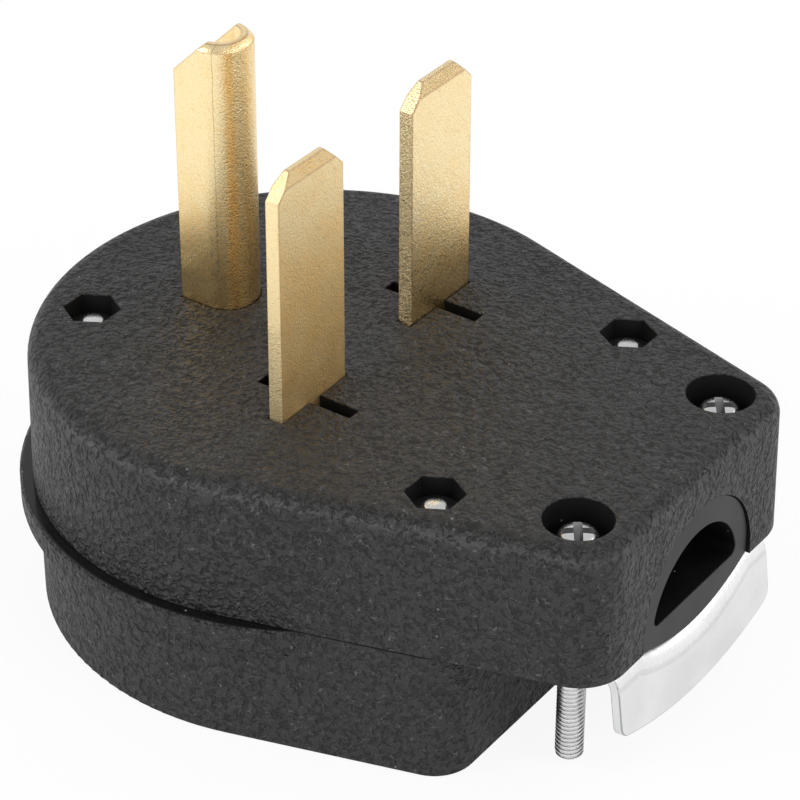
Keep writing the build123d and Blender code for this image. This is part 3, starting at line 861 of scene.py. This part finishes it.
def smooth(mesh: bpy.types.Mesh) -> None:
    """Shades a mesh smooth, apart from its sharp edges."""
    mesh.shade_smooth()
    mesh.set_sharp_from_angle(angle=SMOOTH_ANGLE)


def bake(source: Piece, name: str) -> Piece:
    """Turns an object with modifiers into a plain mesh object and removes the source.

    Args:
        source: The object with its modifiers.
        name: The plain object's name.

    Returns:
        The plain object.
    """
    bpy.context.view_layer.update()
    graph = bpy.context.evaluated_depsgraph_get()
    mesh = bpy.data.meshes.new_from_object(
        source.evaluated_get(graph), preserve_all_data_layers=True, depsgraph=graph
    )
    mesh.name = name
    bpy.data.objects.remove(source)
    return link(name, mesh)


def dress(piece: Piece, *materials: bpy.types.Material) -> None:
    """Gives a piece its materials in order."""
    piece.data.materials.clear()
    for material in materials:
        piece.data.materials.append(material)


def keep_slot(piece: Piece) -> None:
    """Drops the empty material slots that baking leaves before the last one."""
    dress(piece, piece.data.materials[-1])
    for face in piece.data.polygons:
        face.material_index = 0


@dataclass(frozen=True)
class Softened:
    """A copy of a solid with its outer edges broken by a small round."""

    width: float = 0.12 * MM
    segments: int = 2
    sharp_angle: float = SHARP_ANGLE
    profile: float = 0.5
    flat_weight: int = 90

    def make(self, node: str, name: str, chosen: Callable[[Vector], bool]) -> Piece:
        """Copies a solid and rounds its sharp outer edges.

        Args:
            node: The solid's name.
            name: The new piece's name.
            chosen: Whether the edge with this middle is rounded.

        Returns:
            The new piece, with the rounds marked in an attribute.
        """
        mesh = bpy.data.meshes.new(name)
        shape = bmesh.new()
        shape.from_mesh(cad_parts[node].data)
        bmesh.ops.remove_doubles(shape, verts=shape.verts, dist=MERGE_DISTANCE)
        bmesh.ops.dissolve_limit(shape, angle_limit=FLAT_ANGLE, verts=shape.verts, edges=shape.edges)
        rim = shape.faces.layers.float.new(RIM_ATTRIBUTE)
        shape.faces.layers.float.new(SIDE_ATTRIBUTE)
        shape.faces.layers.float.new(TIP_ATTRIBUTE)
        sharp = [
            edge
            for edge in shape.edges
            if len(edge.link_faces) == 2
            and edge.calc_face_angle_signed(0.0) > self.sharp_angle
            and chosen((edge.verts[0].co + edge.verts[1].co) / 2)
        ]
        rounds = bmesh.ops.bevel(
            shape,
            geom=sharp,
            offset=self.width,
            segments=self.segments,
            profile=self.profile,
            affect="EDGES",
            clamp_overlap=False,
        )
        for face in rounds["faces"]:
            face[rim] = 1.0
        shape.to_mesh(mesh)
        shape.free()
        if "custom_normal" in mesh.attributes:
            mesh.attributes.remove(mesh.attributes["custom_normal"])
        mesh.materials.clear()
        smooth(mesh)
        piece = link(name + "_raw", mesh)
        weighted = piece.modifiers.new("flat faces", "WEIGHTED_NORMAL")
        weighted.keep_sharp = True
        weighted.weight = self.flat_weight
        return bake(piece, name)


class Openness:
    """Tells outer faces from those in pockets, bores and the hollow, by looking out from them."""

    REACH = 90.0 * MM
    LIFT = 0.05 * MM
    TILT = math.radians(50)
    LOOKS = 8
    OPEN_SHARE = 0.34

    def __init__(self) -> None:
        """Gathers all the solids in one search tree."""
        corners, faces = [], []
        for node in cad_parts.values():
            start = len(corners)
            corners.extend(vertex.co.copy() for vertex in node.data.vertices)
            faces.extend([start + index for index in face.vertices] for face in node.data.polygons)
        self.tree = BVHTree.FromPolygons(corners, faces)

    def share(self, place: Vector, normal: Vector) -> float:
        """Gives the share of looks from a place that meet nothing.

        Args:
            place: A point on a face.
            normal: Where the face looks.

        Returns:
            A share from 0 to 1.
        """
        leaning = normal * math.cos(self.TILT) + normal.orthogonal().normalized() * math.sin(self.TILT)
        looks = [normal]
        looks.extend(Quaternion(normal, math.tau * turn / self.LOOKS) @ leaning for turn in range(self.LOOKS))
        start = place + normal * self.LIFT
        return sum(self.tree.ray_cast(start, look, self.REACH)[0] is None for look in looks) / len(looks)

    def hidden(self, mesh: bpy.types.Mesh) -> list[bpy.types.MeshPolygon]:
        """Lists the faces of a mesh that see too little, each judged from its largest triangle.

        Args:
            mesh: The piece's mesh.

        Returns:
            The faces inside recesses.
        """
        mesh.calc_loop_triangles()
        largest = {}
        for triangle in mesh.loop_triangles:
            kept = largest.get(triangle.polygon_index)
            if kept is None or triangle.area > kept.area:
                largest[triangle.polygon_index] = triangle
        return [
            mesh.polygons[index]
            for index, triangle in largest.items()
            if self.share(triangle.center, triangle.normal) < self.OPEN_SHARE
        ]


@dataclass
class Shells:
    """The two moulded shells: the front housing and the rear cover."""

    finishes: Finishes
    openness: Openness
    pocket_depth: float = 5.5 * MM
    edge_band: float = 0.3 * MM
    rim: float = 0.12 * MM
    level_normal: float = 0.9
    # These place the painted highlight on the rounded upper edges.
    highlight_normal: float = 0.45
    highlight_spread: float = 0.36

    def breaks(self, point: Vector, outer_level: float) -> bool:
        """Tells whether the edge with this middle lies at the seam or on the outer face."""
        return min(abs(point.z - SEAM_LEVEL), abs(point.z - outer_level)) < self.edge_band

    def seam_rims(self, mesh: bpy.types.Mesh) -> list[bpy.types.MeshPolygon]:
        """Lists the rounds along the seam, which show as a dark line."""
        rim = mesh.attributes[RIM_ATTRIBUTE].data
        return [
            face
            for face in mesh.polygons
            if rim[face.index].value > 0.0 and abs(face.center.z - SEAM_LEVEL) < self.edge_band
        ]

    def mark_edge_highlight(self, mesh: bpy.types.Mesh) -> None:
        """Marks the middle of the rounded upper edges, where a paler band is painted as a highlight."""
        shape = bmesh.new()
        shape.from_mesh(mesh)
        layer = shape.verts.layers.float.new(EDGE_ATTRIBUTE)
        for vertex in shape.verts:
            bends = [edge.calc_face_angle(0.0) for edge in vertex.link_edges]
            if max(bends) < SHARP_ANGLE:
                away = abs(vertex.normal.z - self.highlight_normal) / self.highlight_spread
                vertex[layer] = max(0.0, 1.0 - away)
        shape.to_mesh(mesh)
        shape.free()

    def build(self) -> None:
        """Builds both shells."""
        soft = Softened(self.rim)
        front = soft.make("front_housing", "front_housing_shell", lambda p: self.breaks(p, FACE_LEVEL))
        dress(front, self.finishes.grained, self.finishes.hollow, self.finishes.pocket)
        # Faces that see too little get the darker blacks as painted shade; the seam's rounds get the hollow
        # black as the dark seam line.
        for face in self.openness.hidden(front.data):
            in_pocket = face.center.z > FACE_LEVEL - self.pocket_depth
            face.material_index = Zone.SMOOTH if in_pocket else Zone.HOLLOW
        for face in self.seam_rims(front.data):
            face.material_index = Zone.HOLLOW
        self.mark_edge_highlight(front.data)
        settle(front, BODY, ["front_housing"])
        rear = soft.make("rear_cover", "rear_cover_shell", lambda p: self.breaks(p, 0.0))
        dress(rear, self.finishes.grained, self.finishes.hollow, self.finishes.ledge)
        end_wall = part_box("rear_cover")[1].x - self.edge_band
        # The ledge's top gets the smooth black: smooth plastic, darker as painted shade of the crevice under
        # the housing.
        for face in rear.data.polygons:
            if face.normal.z > self.level_normal and abs(face.center.z - SEAM_LEVEL) < self.edge_band:
                face.material_index = Zone.SMOOTH
        # Hidden faces, apart from the end wall, get the hollow black as painted shade.
        for face in self.openness.hidden(rear.data):
            if face.center.x < end_wall:
                face.material_index = max(Zone.HOLLOW, face.material_index)
        for face in self.seam_rims(rear.data):
            face.material_index = max(Zone.HOLLOW, face.material_index)
        settle(rear, BODY, ["rear_cover"])


@dataclass
class Contacts:
    """The two flat blades and the folded earth pin."""

    finishes: Finishes
    rim: float = 0.16 * MM
    sharp_angle: float = math.radians(16)
    side_normal: float = 0.85
    bevel_normal: float = 0.2

    def mark_sheared(self, piece: Piece) -> None:
        """Marks the narrow sides, where the strip was sheared, and the pressed bevels of its tip."""
        sheared = piece.data.attributes[SIDE_ATTRIBUTE].data
        beaded = piece.data.attributes[TIP_ATTRIBUTE].data
        for face in piece.data.polygons:
            if abs(face.normal.y) > self.side_normal or face.normal.z > self.side_normal:
                sheared[face.index].value = 1.0
            elif face.normal.z > self.bevel_normal and abs(face.normal.x) > self.bevel_normal:
                beaded[face.index].value = 1.0

    def build(self) -> None:
        """Builds the three contacts."""
        soft = Softened(self.rim, sharp_angle=self.sharp_angle)
        # The near blade takes the brass copy whose painted reflection of the housing reaches higher.
        brass = {Side.LEFT: self.finishes.near_brass, Side.RIGHT: self.finishes.brass}
        for side in Side:
            node = f"line_blade_{side.value}"
            blade = soft.make(node, node + "_strip", lambda p: p.z > FACE_LEVEL)
            self.mark_sheared(blade)
            dress(blade, brass[side])
            settle(blade, BODY, [node])
        pin = soft.make("ground_pin", "ground_pin_fold", lambda p: p.z > FACE_LEVEL)
        dress(pin, self.finishes.folded_brass)
        settle(pin, BODY, ["ground_pin"])


def close_outwards(mesh: bpy.types.Mesh) -> None:
    """Merges what coincides and turns every face outwards."""
    shape = bmesh.new()
    shape.from_mesh(mesh)
    bmesh.ops.remove_doubles(shape, verts=shape.verts, dist=MERGE_DISTANCE)
    bmesh.ops.recalc_face_normals(shape, faces=shape.faces)
    shape.to_mesh(mesh)
    shape.free()


class FastenerTree:
    """Geometry nodes that put one fastener at each point, turned as the point says."""

    NAME = "fasteners"
    SIZES: dict[str, float] = {}

    def __init__(self, material: bpy.types.Material) -> None:
        """Builds the tree.

        Args:
            material: The fasteners' finish.
        """
        inputs = {"Geometry": (GEOMETRY, None), "Flip": (FLOAT, Pointing.UP.value)}
        inputs.update({label: (FLOAT, size) for label, size in self.SIZES.items()})
        self.tree = new_group(self.NAME, "GeometryNodeTree", inputs, {"Geometry": GEOMETRY})
        self.wiring = Wiring(self.tree)
        self.given = self.tree.nodes["Group Input"].outputs
        w = self.wiring
        named = {"Name": PLACE_ATTRIBUTE}
        turn = w.add("GeometryNodeInputNamedAttribute", named, data_type="FLOAT").outputs[0]
        angles = w.joined(self.given["Flip"], 0.0, turn)
        points = {
            "Points": self.given["Geometry"],
            "Instance": self.shape(),
            "Rotation": w.add("FunctionNodeEulerToRotation", {0: angles}).outputs[0],
        }
        placed = w.add("GeometryNodeInstanceOnPoints", points)
        real = w.add("GeometryNodeRealizeInstances", {0: placed.outputs[0]})
        done = w.add("GeometryNodeSetMaterial", {"Geometry": real.outputs[0], "Material": material})
        w.feed(self.tree.nodes["Group Output"].inputs[0], done.outputs[0])

    def shape(self) -> Socket:
        """Makes one fastener at the origin; each kind of fastener has its own."""
        raise NotImplementedError

    def sheet(self, columns: int, rows: int) -> tuple[Socket, Socket, Socket]:
        """Makes a grid to wrap round the axis.

        Args:
            columns: Faces round the axis.
            rows: Faces along it.

        Returns:
            The grid, the share of a turn from 0 to 1, and the row number.
        """
        w = self.wiring
        grid = w.add("GeometryNodeMeshGrid", {"Vertices X": columns + 1, "Vertices Y": rows + 1})
        place = w.split(w.add("GeometryNodeInputPosition").outputs[0])
        row = w.math("ROUND", w.times(w.plus(place[1], 0.5), float(rows)))
        return grid.outputs[0], w.plus(place[0], 0.5), row

    def wrap(self, grid: object, share: object, radius: object, level: object) -> Socket:
        """Wraps a grid round the axis and closes its seam and poles.

        Args:
            grid: The grid.
            share: Share of a turn.
            radius: Distance from the axis.
            level: Height along it.

        Returns:
            The closed surface.
        """
        w = self.wiring
        angle = w.times(share, math.tau)
        across = w.times(radius, w.math("COSINE", angle))
        place = w.joined(across, w.times(radius, w.math("SINE", angle)), level)
        moved = w.add("GeometryNodeSetPosition", {"Geometry": grid, "Position": place})
        merging = {"Geometry": moved.outputs[0], "Distance": WELD_DISTANCE}
        return w.add("GeometryNodeMergeByDistance", merging).outputs[0]

    def make(self, name: str, places: Sequence[Place], sizes: dict[str, float] | None = None) -> Piece:
        """Puts fasteners at the given places.

        Args:
            name: The piece's name.
            places: Seat and turn of each fastener.
            sizes: Sizes that differ from the tree's own.

        Returns:
            One plain piece with all the fasteners.
        """
        mesh = bpy.data.meshes.new(name + "_seats")
        mesh.from_pydata([place for place, turn in places], [], [])
        turns = mesh.attributes.new(PLACE_ATTRIBUTE, "FLOAT", "POINT")
        for item, (place, turn) in zip(turns.data, places):
            item.value = turn
        source = link(name + "_seats", mesh)
        modifier = source.modifiers.new("fasteners", "NODES")
        modifier.node_group = self.tree
        for item in self.tree.interface.items_tree:
            if item.in_out == "INPUT" and item.name in (sizes or {}):
                modifier[item.identifier] = sizes[item.name]
        piece = bake(source, name)
        close_outwards(piece.data)
        smooth(piece.data)
        keep_slot(piece)
        return piece


class ScrewTree(FastenerTree):
    """Threaded screws with a domed cross-recess head."""

    NAME = "threaded_screws"
    SIZES = {
        "Length": 30.0 * MM,
        "Major Radius": 1.75 * MM,
        "Thread Depth": 0.3 * MM,
        "Pitch": 0.6 * MM,
        "Tip Chamfer": 0.45 * MM,
        "Tip Dome": 0.12 * MM,
        "Head Radius": 2.6 * MM,
        "Head Height": 2.7 * MM,
        "Recess Reach": 1.8 * MM,
        "Recess Width": 0.48 * MM,
        "Recess Depth": 1.5 * MM,
    }
    SEGMENTS = 32
    STEPS = 8
    LEAD_TURNS = 2
    TAIL_TURNS = 1
    FLANK_BAND = (0.06, 0.40)
    SUNK = 0.3 * MM
    CROWN_ROWS = 14
    CROWN_POWER = 2.0 / 4.2
    BAR_SIDES = 4
    BAR_DEPTH = 2.0
    BAR_TAPER = (0.34, 1.12)

    def __init__(self, material: bpy.types.Material, turns: int) -> None:
        """Builds the tree.

        Args:
            material: The screws' finish.
            turns: Turns of thread, a whole number past the length.
        """
        self.turns = turns
        super().__init__(material)

    @classmethod
    def fitted(cls, node: str, seat: Vector, length: float, pointing: Pointing) -> dict[str, float]:
        """Takes sizes from a screw's solid.

        Args:
            node: The solid's name.
            seat: The middle of the head's underside.
            length: The shank's length, with its domed tip.
            pointing: Which way the screw points.

        Returns:
            The sizes that differ from the tree's own.
        """
        low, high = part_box(node)
        head = high.z - seat.z if pointing is Pointing.DOWN else seat.z - low.z
        return {
            "Flip": pointing.value,
            "Length": length - cls.SIZES["Tip Dome"],
            "Head Height": head,
            "Head Radius": (high.x - low.x) / 2,
        }

    def shape(self) -> Socket:
        """Joins the shank and the head."""
        screw = self.wiring.add("GeometryNodeJoinGeometry")
        for part in (self.shank(), self.head()):
            self.wiring.feed(screw.inputs[0], part)
        return screw.outputs[0]

    def shank(self) -> Socket:
        """Makes the threaded shank, from a point in the head to the domed tip.

        Returns:
            The shank.
        """
        w, given = self.wiring, self.given
        length, pitch, major = given["Length"], given["Pitch"], given["Major Radius"]
        turns = self.LEAD_TURNS + self.turns + self.TAIL_TURNS
        grid, share, row = self.sheet(self.SEGMENTS, turns * self.STEPS)
        turn = w.math("DIVIDE", row, float(self.STEPS))
        raw = w.times(w.minus(w.plus(turn, share), float(self.LEAD_TURNS)), pitch)
        level = w.math("MAXIMUM", 0.0, w.math("MINIMUM", raw, length))
        flank = w.remap(w.math("PINGPONG", turn, 0.5), *self.FLANK_BAND)
        ridge = w.times(flank, given["Thread Depth"])
        root = w.minus(major, given["Thread Depth"])
        cone = w.plus(w.minus(major, given["Tip Chamfer"]), w.math("MAXIMUM", w.minus(length, raw), 0.0))
        thread = w.math("MINIMUM", w.plus(root, ridge), cone)
        past = w.math("DIVIDE", w.minus(raw, length), pitch, clamp=True)
        before = w.math("DIVIDE", w.times(raw, -1.0), pitch, clamp=True)
        radius = w.times(thread, w.minus(1.0, w.math("MAXIMUM", past, before)))
        bulge = w.times(given["Tip Dome"], w.minus(1.0, w.math("POWER", w.minus(1.0, past), 2.0)))
        sunk = w.times(before, self.SUNK)
        return self.wrap(grid, share, radius, w.minus(w.plus(level, bulge), sunk))

    def head(self) -> Socket:
        """Makes the domed head and cuts its cross recess.

        Returns:
            The head, its seat at the origin and its crown to -Z.
        """
        w, given = self.wiring, self.given
        grid, share, row = self.sheet(2 * self.SEGMENTS, self.CROWN_ROWS + 1)
        angle = w.times(w.math("DIVIDE", row, float(self.CROWN_ROWS), clamp=True), math.pi / 2)
        over = w.math("LESS_THAN", row, self.CROWN_ROWS + 0.5)
        reach = w.math("POWER", w.math("SINE", angle), self.CROWN_POWER)
        rise = w.math("POWER", w.math("MAXIMUM", w.math("COSINE", angle), 0.0), self.CROWN_POWER)
        level = w.times(given["Head Height"], rise, -1.0)
        dome = self.wrap(grid, share, w.times(given["Head Radius"], reach, over), level)
        cut = w.add("GeometryNodeMeshBoolean", {"Mesh 1": dome}, operation="DIFFERENCE", solver="EXACT")
        for turn in (0.0, math.pi / 2):
            w.feed(cut.inputs["Mesh 2"], self.wing(turn))
        return cut.outputs[0]

    def wing(self, turn: float) -> Socket:
        """Makes one tapered bar of the cross that cuts the recess.

        Args:
            turn: The bar's turn about the axis.

        Returns:
            The bar.
        """
        w, given = self.wiring, self.given
        narrow, wide = (share * math.sqrt(2) for share in self.BAR_TAPER)
        sides = {"Vertices": self.BAR_SIDES, "Depth": self.BAR_DEPTH}
        cone = {**sides, "Radius Top": narrow, "Radius Bottom": wide}
        bar = w.add("GeometryNodeMeshCone", cone).outputs[0]
        scale = w.joined(given["Recess Reach"], given["Recess Width"], given["Recess Depth"])
        top = w.joined(0.0, 0.0, w.times(given["Head Height"], -1.0))
        steps = (
            {"Rotation": (0.0, 0.0, math.pi / 4)},
            {"Scale": scale},
            {"Rotation": (0.0, 0.0, turn)},
            {"Translation": top},
        )
        for step in steps:
            bar = w.add("GeometryNodeTransform", {"Geometry": bar, **step}).outputs[0]
        return bar


class NutTree(FastenerTree):
    """Chamfered hexagonal nuts."""

    NAME = "hexagonal_nuts"
    SIZES = {"Across Flats": 6.0 * MM, "Height": 2.8 * MM, "Bore Radius": 1.78 * MM, "Face Radius": 2.85 * MM}
    COLUMNS = 72
    ROWS = 6
    HALF_FLAT = math.pi / 6
    CHAMFER_SLOPE = math.tan(math.radians(30))

    def pick(self, row: object, values: Sequence[object]) -> Socket:
        """Chooses a value by row number."""
        node = self.wiring.add("GeometryNodeIndexSwitch", data_type="FLOAT")
        while len(node.index_switch_items) < len(values):
            node.index_switch_items.new()
        self.wiring.feed(node.inputs[0], row)
        for socket, value in zip(node.inputs[1:], values):
            self.wiring.feed(socket, value)
        return node.outputs[0]

    def shape(self) -> Socket:
        """Makes one nut with its lower face at the origin."""
        w, given = self.wiring, self.given
        grid, share, row = self.sheet(self.COLUMNS, self.ROWS)
        sector = w.math("PINGPONG", w.plus(w.times(share, math.tau), self.HALF_FLAT), self.HALF_FLAT)
        hexagon = w.math("DIVIDE", w.times(given["Across Flats"], 0.5), w.math("COSINE", sector))
        bore, face, height = given["Bore Radius"], given["Face Radius"], given["Height"]
        drop = w.times(w.math("MAXIMUM", w.minus(hexagon, face), 0.0), self.CHAMFER_SLOPE)
        radius = self.pick(row, [bore, face, hexagon, hexagon, face, bore, bore])
        level = self.pick(row, [0.0, 0.0, drop, w.minus(height, drop), height, height, 0.0])
        return self.wrap(grid, share, radius, level)


@dataclass
class CordClamp:
    """The collar, the zinc saddle and the two long screws that pull it up."""

    finishes: Finishes
    openness: Openness
    recess_turn: float = math.radians(35)
    screw_length: float = 30.4 * MM
    thread_turns: int = 52
    rim: float = 0.15 * MM
    bend_normal: float = 0.15
    crease_normal: float = 0.3
    crease_share: float = 0.18
    socket_reach: float = 2.0 * MM
    crown_drop: float = 0.25 * MM

    def mark_bend(self, saddle: Piece) -> None:
        """Marks the outside of the bend between the saddle's plate and its lip, and its lower border."""
        layer = saddle.data.attributes[SIDE_ATTRIBUTE].data
        rim = saddle.data.attributes[RIM_ATTRIBUTE].data
        for face in saddle.data.polygons:
            if face.normal.x > self.bend_normal and face.normal.z > self.bend_normal:
                layer[face.index].value = 1.0
                if face.normal.z < self.crease_normal:
                    rim[face.index].value = self.crease_share

    def mark_socket_shade(self, screw: Piece, seat: Vector, height: float) -> None:
        """Paints the shade in the cross recess of a screw's crown with a darker zinc.

        Args:
            screw: The screw, head up.
            seat: The middle of the head's underside.
            height: The head's height.
        """
        dark = len(screw.data.materials)
        screw.data.materials.append(self.finishes.socket)
        for face in screw.data.polygons:
            away = face.center - seat
            inside = math.hypot(away.x, away.y) < self.socket_reach
            if inside and height - self.crown_drop > away.z > self.crown_drop:
                face.material_index = dark

    def build(self) -> None:
        """Builds the clamp's pieces."""
        soft = Softened(self.rim)
        collar = soft.make("cord_collar", "cord_collar_bush", lambda p: True)
        dress(collar, self.finishes.collar, self.finishes.hollow)
        # The collar's bore gets the hollow black as painted shade.
        for face in self.openness.hidden(collar.data):
            face.material_index = Zone.HOLLOW
        settle(collar, BODY, ["cord_collar"])
        saddle = soft.make("cord_saddle", "cord_saddle_plate", lambda p: True)
        self.mark_bend(saddle)
        dress(saddle, self.finishes.zinc)
        settle(saddle, "saddle", ["cord_saddle"])
        tree = ScrewTree(self.finishes.screw, self.thread_turns)
        for side in Side:
            node = f"clamp_screw_{side.value}"
            low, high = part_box(node)
            seat = Vector(((low.x + high.x) / 2, (low.y + high.y) / 2, low.z + self.screw_length))
            sizes = ScrewTree.fitted(node, seat, self.screw_length, Pointing.DOWN)
            screw = tree.make(node + "_threaded", [(seat, self.recess_turn)], sizes)
            self.mark_socket_shade(screw, seat, sizes["Head Height"])
            settle(screw, f"{side.value}_clamp_screw", [node])


@dataclass
class CoverFasteners:
    """The four screws that hold the rear cover and the nuts in the housing's pockets."""

    finishes: Finishes
    screw_length: float = 30.0 * MM
    thread_turns: int = 51
    count: int = 4
    turn_step: float = 0.7

    def build(self) -> None:
        """Builds the screws and the nuts."""
        numbers = range(1, self.count + 1)
        seats, faces = [], []
        for number in numbers:
            low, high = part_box(f"cover_screw_{number}")
            middle = (low + high) / 2
            seats.append((Vector((middle.x, middle.y, high.z - self.screw_length)), number * self.turn_step))
            faces.append((Vector((middle.x, middle.y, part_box(f"cover_nut_{number}")[0].z)), 0.0))
        sizes = ScrewTree.fitted("cover_screw_1", seats[0][0], self.screw_length, Pointing.UP)
        screws = ScrewTree(self.finishes.screw, self.thread_turns).make("cover_screw_set", seats, sizes)
        settle(screws, BODY, [f"cover_screw_{number}" for number in numbers])
        nuts = NutTree(self.finishes.nut).make("cover_nut_set", faces)
        settle(nuts, BODY, [f"cover_nut_{number}" for number in numbers])


@dataclass
class Terminals:
    """The binding screws and pressure plates inside, which keep their solids."""

    finishes: Finishes

    def build(self) -> None:
        """Dresses the solids."""
        for place in ("left", "right", "ground"):
            dress(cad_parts[f"terminal_screw_{place}"], self.finishes.brass)
            dress(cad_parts[f"pressure_plate_{place}"], self.finishes.zinc)
            log.info("terminal %s dressed", place)


@dataclass(frozen=True)
class Softbox:
    """One soft studio lamp."""

    name: str
    place: tuple[float, float, float]
    size: float
    power: float

    def build(self, target: Vector) -> None:
        """Hangs the lamp, facing the target."""
        lamp = bpy.data.lights.new(self.name, "AREA")
        lamp.shape = "DISK"
        lamp.size = self.size
        lamp.energy = self.power
        holder = bpy.data.objects.new(self.name, lamp)
        holder.location = self.place
        holder.rotation_euler = (target - Vector(self.place)).to_track_quat("-Z", "Y").to_euler()
        bpy.context.scene.collection.objects.link(holder)


@dataclass
class Studio:
    """Floor, lamps, surroundings and camera."""

    floor_radius: float = 4.0
    floor_points: int = 96
    paper: Colour = (0.93, 0.93, 0.93)
    shadow_share: float = 0.1
    mirrored_shadow_share: float = 0.75
    ambient: float = 0.8
    high_sky: float = 0.62
    sky_start: float = 0.15
    sky_end: float = 0.75
    lens: float = 144.0
    sensor: float = 36.0
    clip: Band = (0.01, 20.0)
    camera_place: tuple[float, float, float] = (0.1944, -0.2716, 0.24935)
    azimuth: float = math.radians(35.193)
    elevation: float = math.radians(33.514)
    roll: float = math.radians(0.105)
    shift: tuple[float, float] = (0.01126, 0.00645)
    target: tuple[float, float, float] = (0.0, 0.0, 0.03)

    def lamps(self) -> list[Softbox]:
        """Lists the lamps: a key from the cord end, one from behind and a low fill from the round end."""
        return [
            Softbox("key_lamp", (0.62, -0.12, 0.42), size=0.4, power=1.2),
            Softbox("back_lamp", (0.51, 0.64, 0.49), size=0.4, power=1.0),
            Softbox("fill_lamp", (-0.46, -0.68, 0.46), size=0.55, power=3.0),
        ]

    @staticmethod
    def rays(w: Wiring) -> tuple[Socket, Socket]:
        """Gives 1 for rays straight from the camera, and 1 for mirrored ones and those through glass."""
        path = w.add("ShaderNodeLightPath").outputs
        return path["Is Camera Ray"], w.math("MAXIMUM", path["Is Glossy Ray"], path["Is Transmission Ray"])

    def build_floor(self) -> None:
        """Lays a white floor that keeps the plug's shadow."""
        mesh = bpy.data.meshes.new("floor")
        shape = bmesh.new()
        bmesh.ops.create_circle(shape, cap_ends=True, segments=self.floor_points, radius=self.floor_radius)
        shape.to_mesh(mesh)
        shape.free()
        floor = link("floor", mesh)
        material = bpy.data.materials.new("floor_white")
        material.use_nodes = True
        nodes = material.node_tree.nodes
        nodes.remove(nodes["Principled BSDF"])
        w = Wiring(material.node_tree)
        paper = w.add("ShaderNodeBsdfDiffuse", {"Color": (*self.paper, 1.0)})
        glow = w.add("ShaderNodeEmission", {"Color": WHITE, "Strength": 1.0})
        straight, mirrored = self.rays(w)
        share = w.plus(
            w.times(straight, 1.0 - self.shadow_share),
            w.times(mirrored, 1.0 - self.mirrored_shadow_share),
        )
        mix = w.add("ShaderNodeMixShader", {0: share, 1: paper.outputs[0], 2: glow.outputs[0]})
        w.feed(nodes["Material Output"].inputs["Surface"], mix.outputs[0])
        dress(floor, material)

    def build_world(self) -> None:
        """Surrounds the plug with white that lights it at a plain level."""
        world = bpy.data.worlds.new("studio")
        world.use_nodes = True
        w = Wiring(world.node_tree)
        back = world.node_tree.nodes["Background"]
        back.inputs["Color"].default_value = WHITE
        straight, mirrored = self.rays(w)
        height = w.split(w.add("ShaderNodeTexCoord").outputs["Generated"])[2]
        sky = w.remap(height, self.sky_start, self.sky_end, 1.0, self.high_sky)
        rest = w.minus(1.0, w.plus(straight, mirrored))
        w.feed(back.inputs["Strength"], w.plus(straight, w.times(mirrored, sky), w.times(rest, self.ambient)))
        bpy.context.scene.world = world

    def build_camera(self) -> None:
        """Sets the camera at the photograph's angle."""
        data = bpy.data.cameras.new("camera")
        data.lens = self.lens
        data.sensor_width = self.sensor
        data.shift_x, data.shift_y = self.shift
        data.clip_start, data.clip_end = self.clip
        camera = bpy.data.objects.new("camera", data)
        pitch = Matrix.Rotation(math.pi / 2 - self.elevation, 4, "X")
        turn = Matrix.Rotation(self.azimuth, 4, "Z") @ pitch @ Matrix.Rotation(self.roll, 4, "Z")
        camera.matrix_world = Matrix.Translation(self.camera_place) @ turn
        bpy.context.scene.collection.objects.link(camera)
        bpy.context.scene.camera = camera

    def build(self) -> None:
        """Builds the whole studio."""
        self.build_floor()
        self.build_world()
        for lamp in self.lamps():
            lamp.build(Vector(self.target))
        self.build_camera()
        bpy.context.scene.view_settings.view_transform = "Standard"


def main() -> None:
    """Builds the plug's sub-assemblies in order, then the studio."""
    logging.basicConfig(level=logging.INFO, format="%(name)s: %(message)s")
    finishes = Finishes(ShaderGroups())
    openness = Openness()
    parts = [
        Shells(finishes, openness),
        Contacts(finishes),
        CordClamp(finishes, openness),
        CoverFasteners(finishes),
        Terminals(finishes),
    ]
    for part in parts:
        part.build()
    Studio().build()


if __name__ == "__main__":
    main()
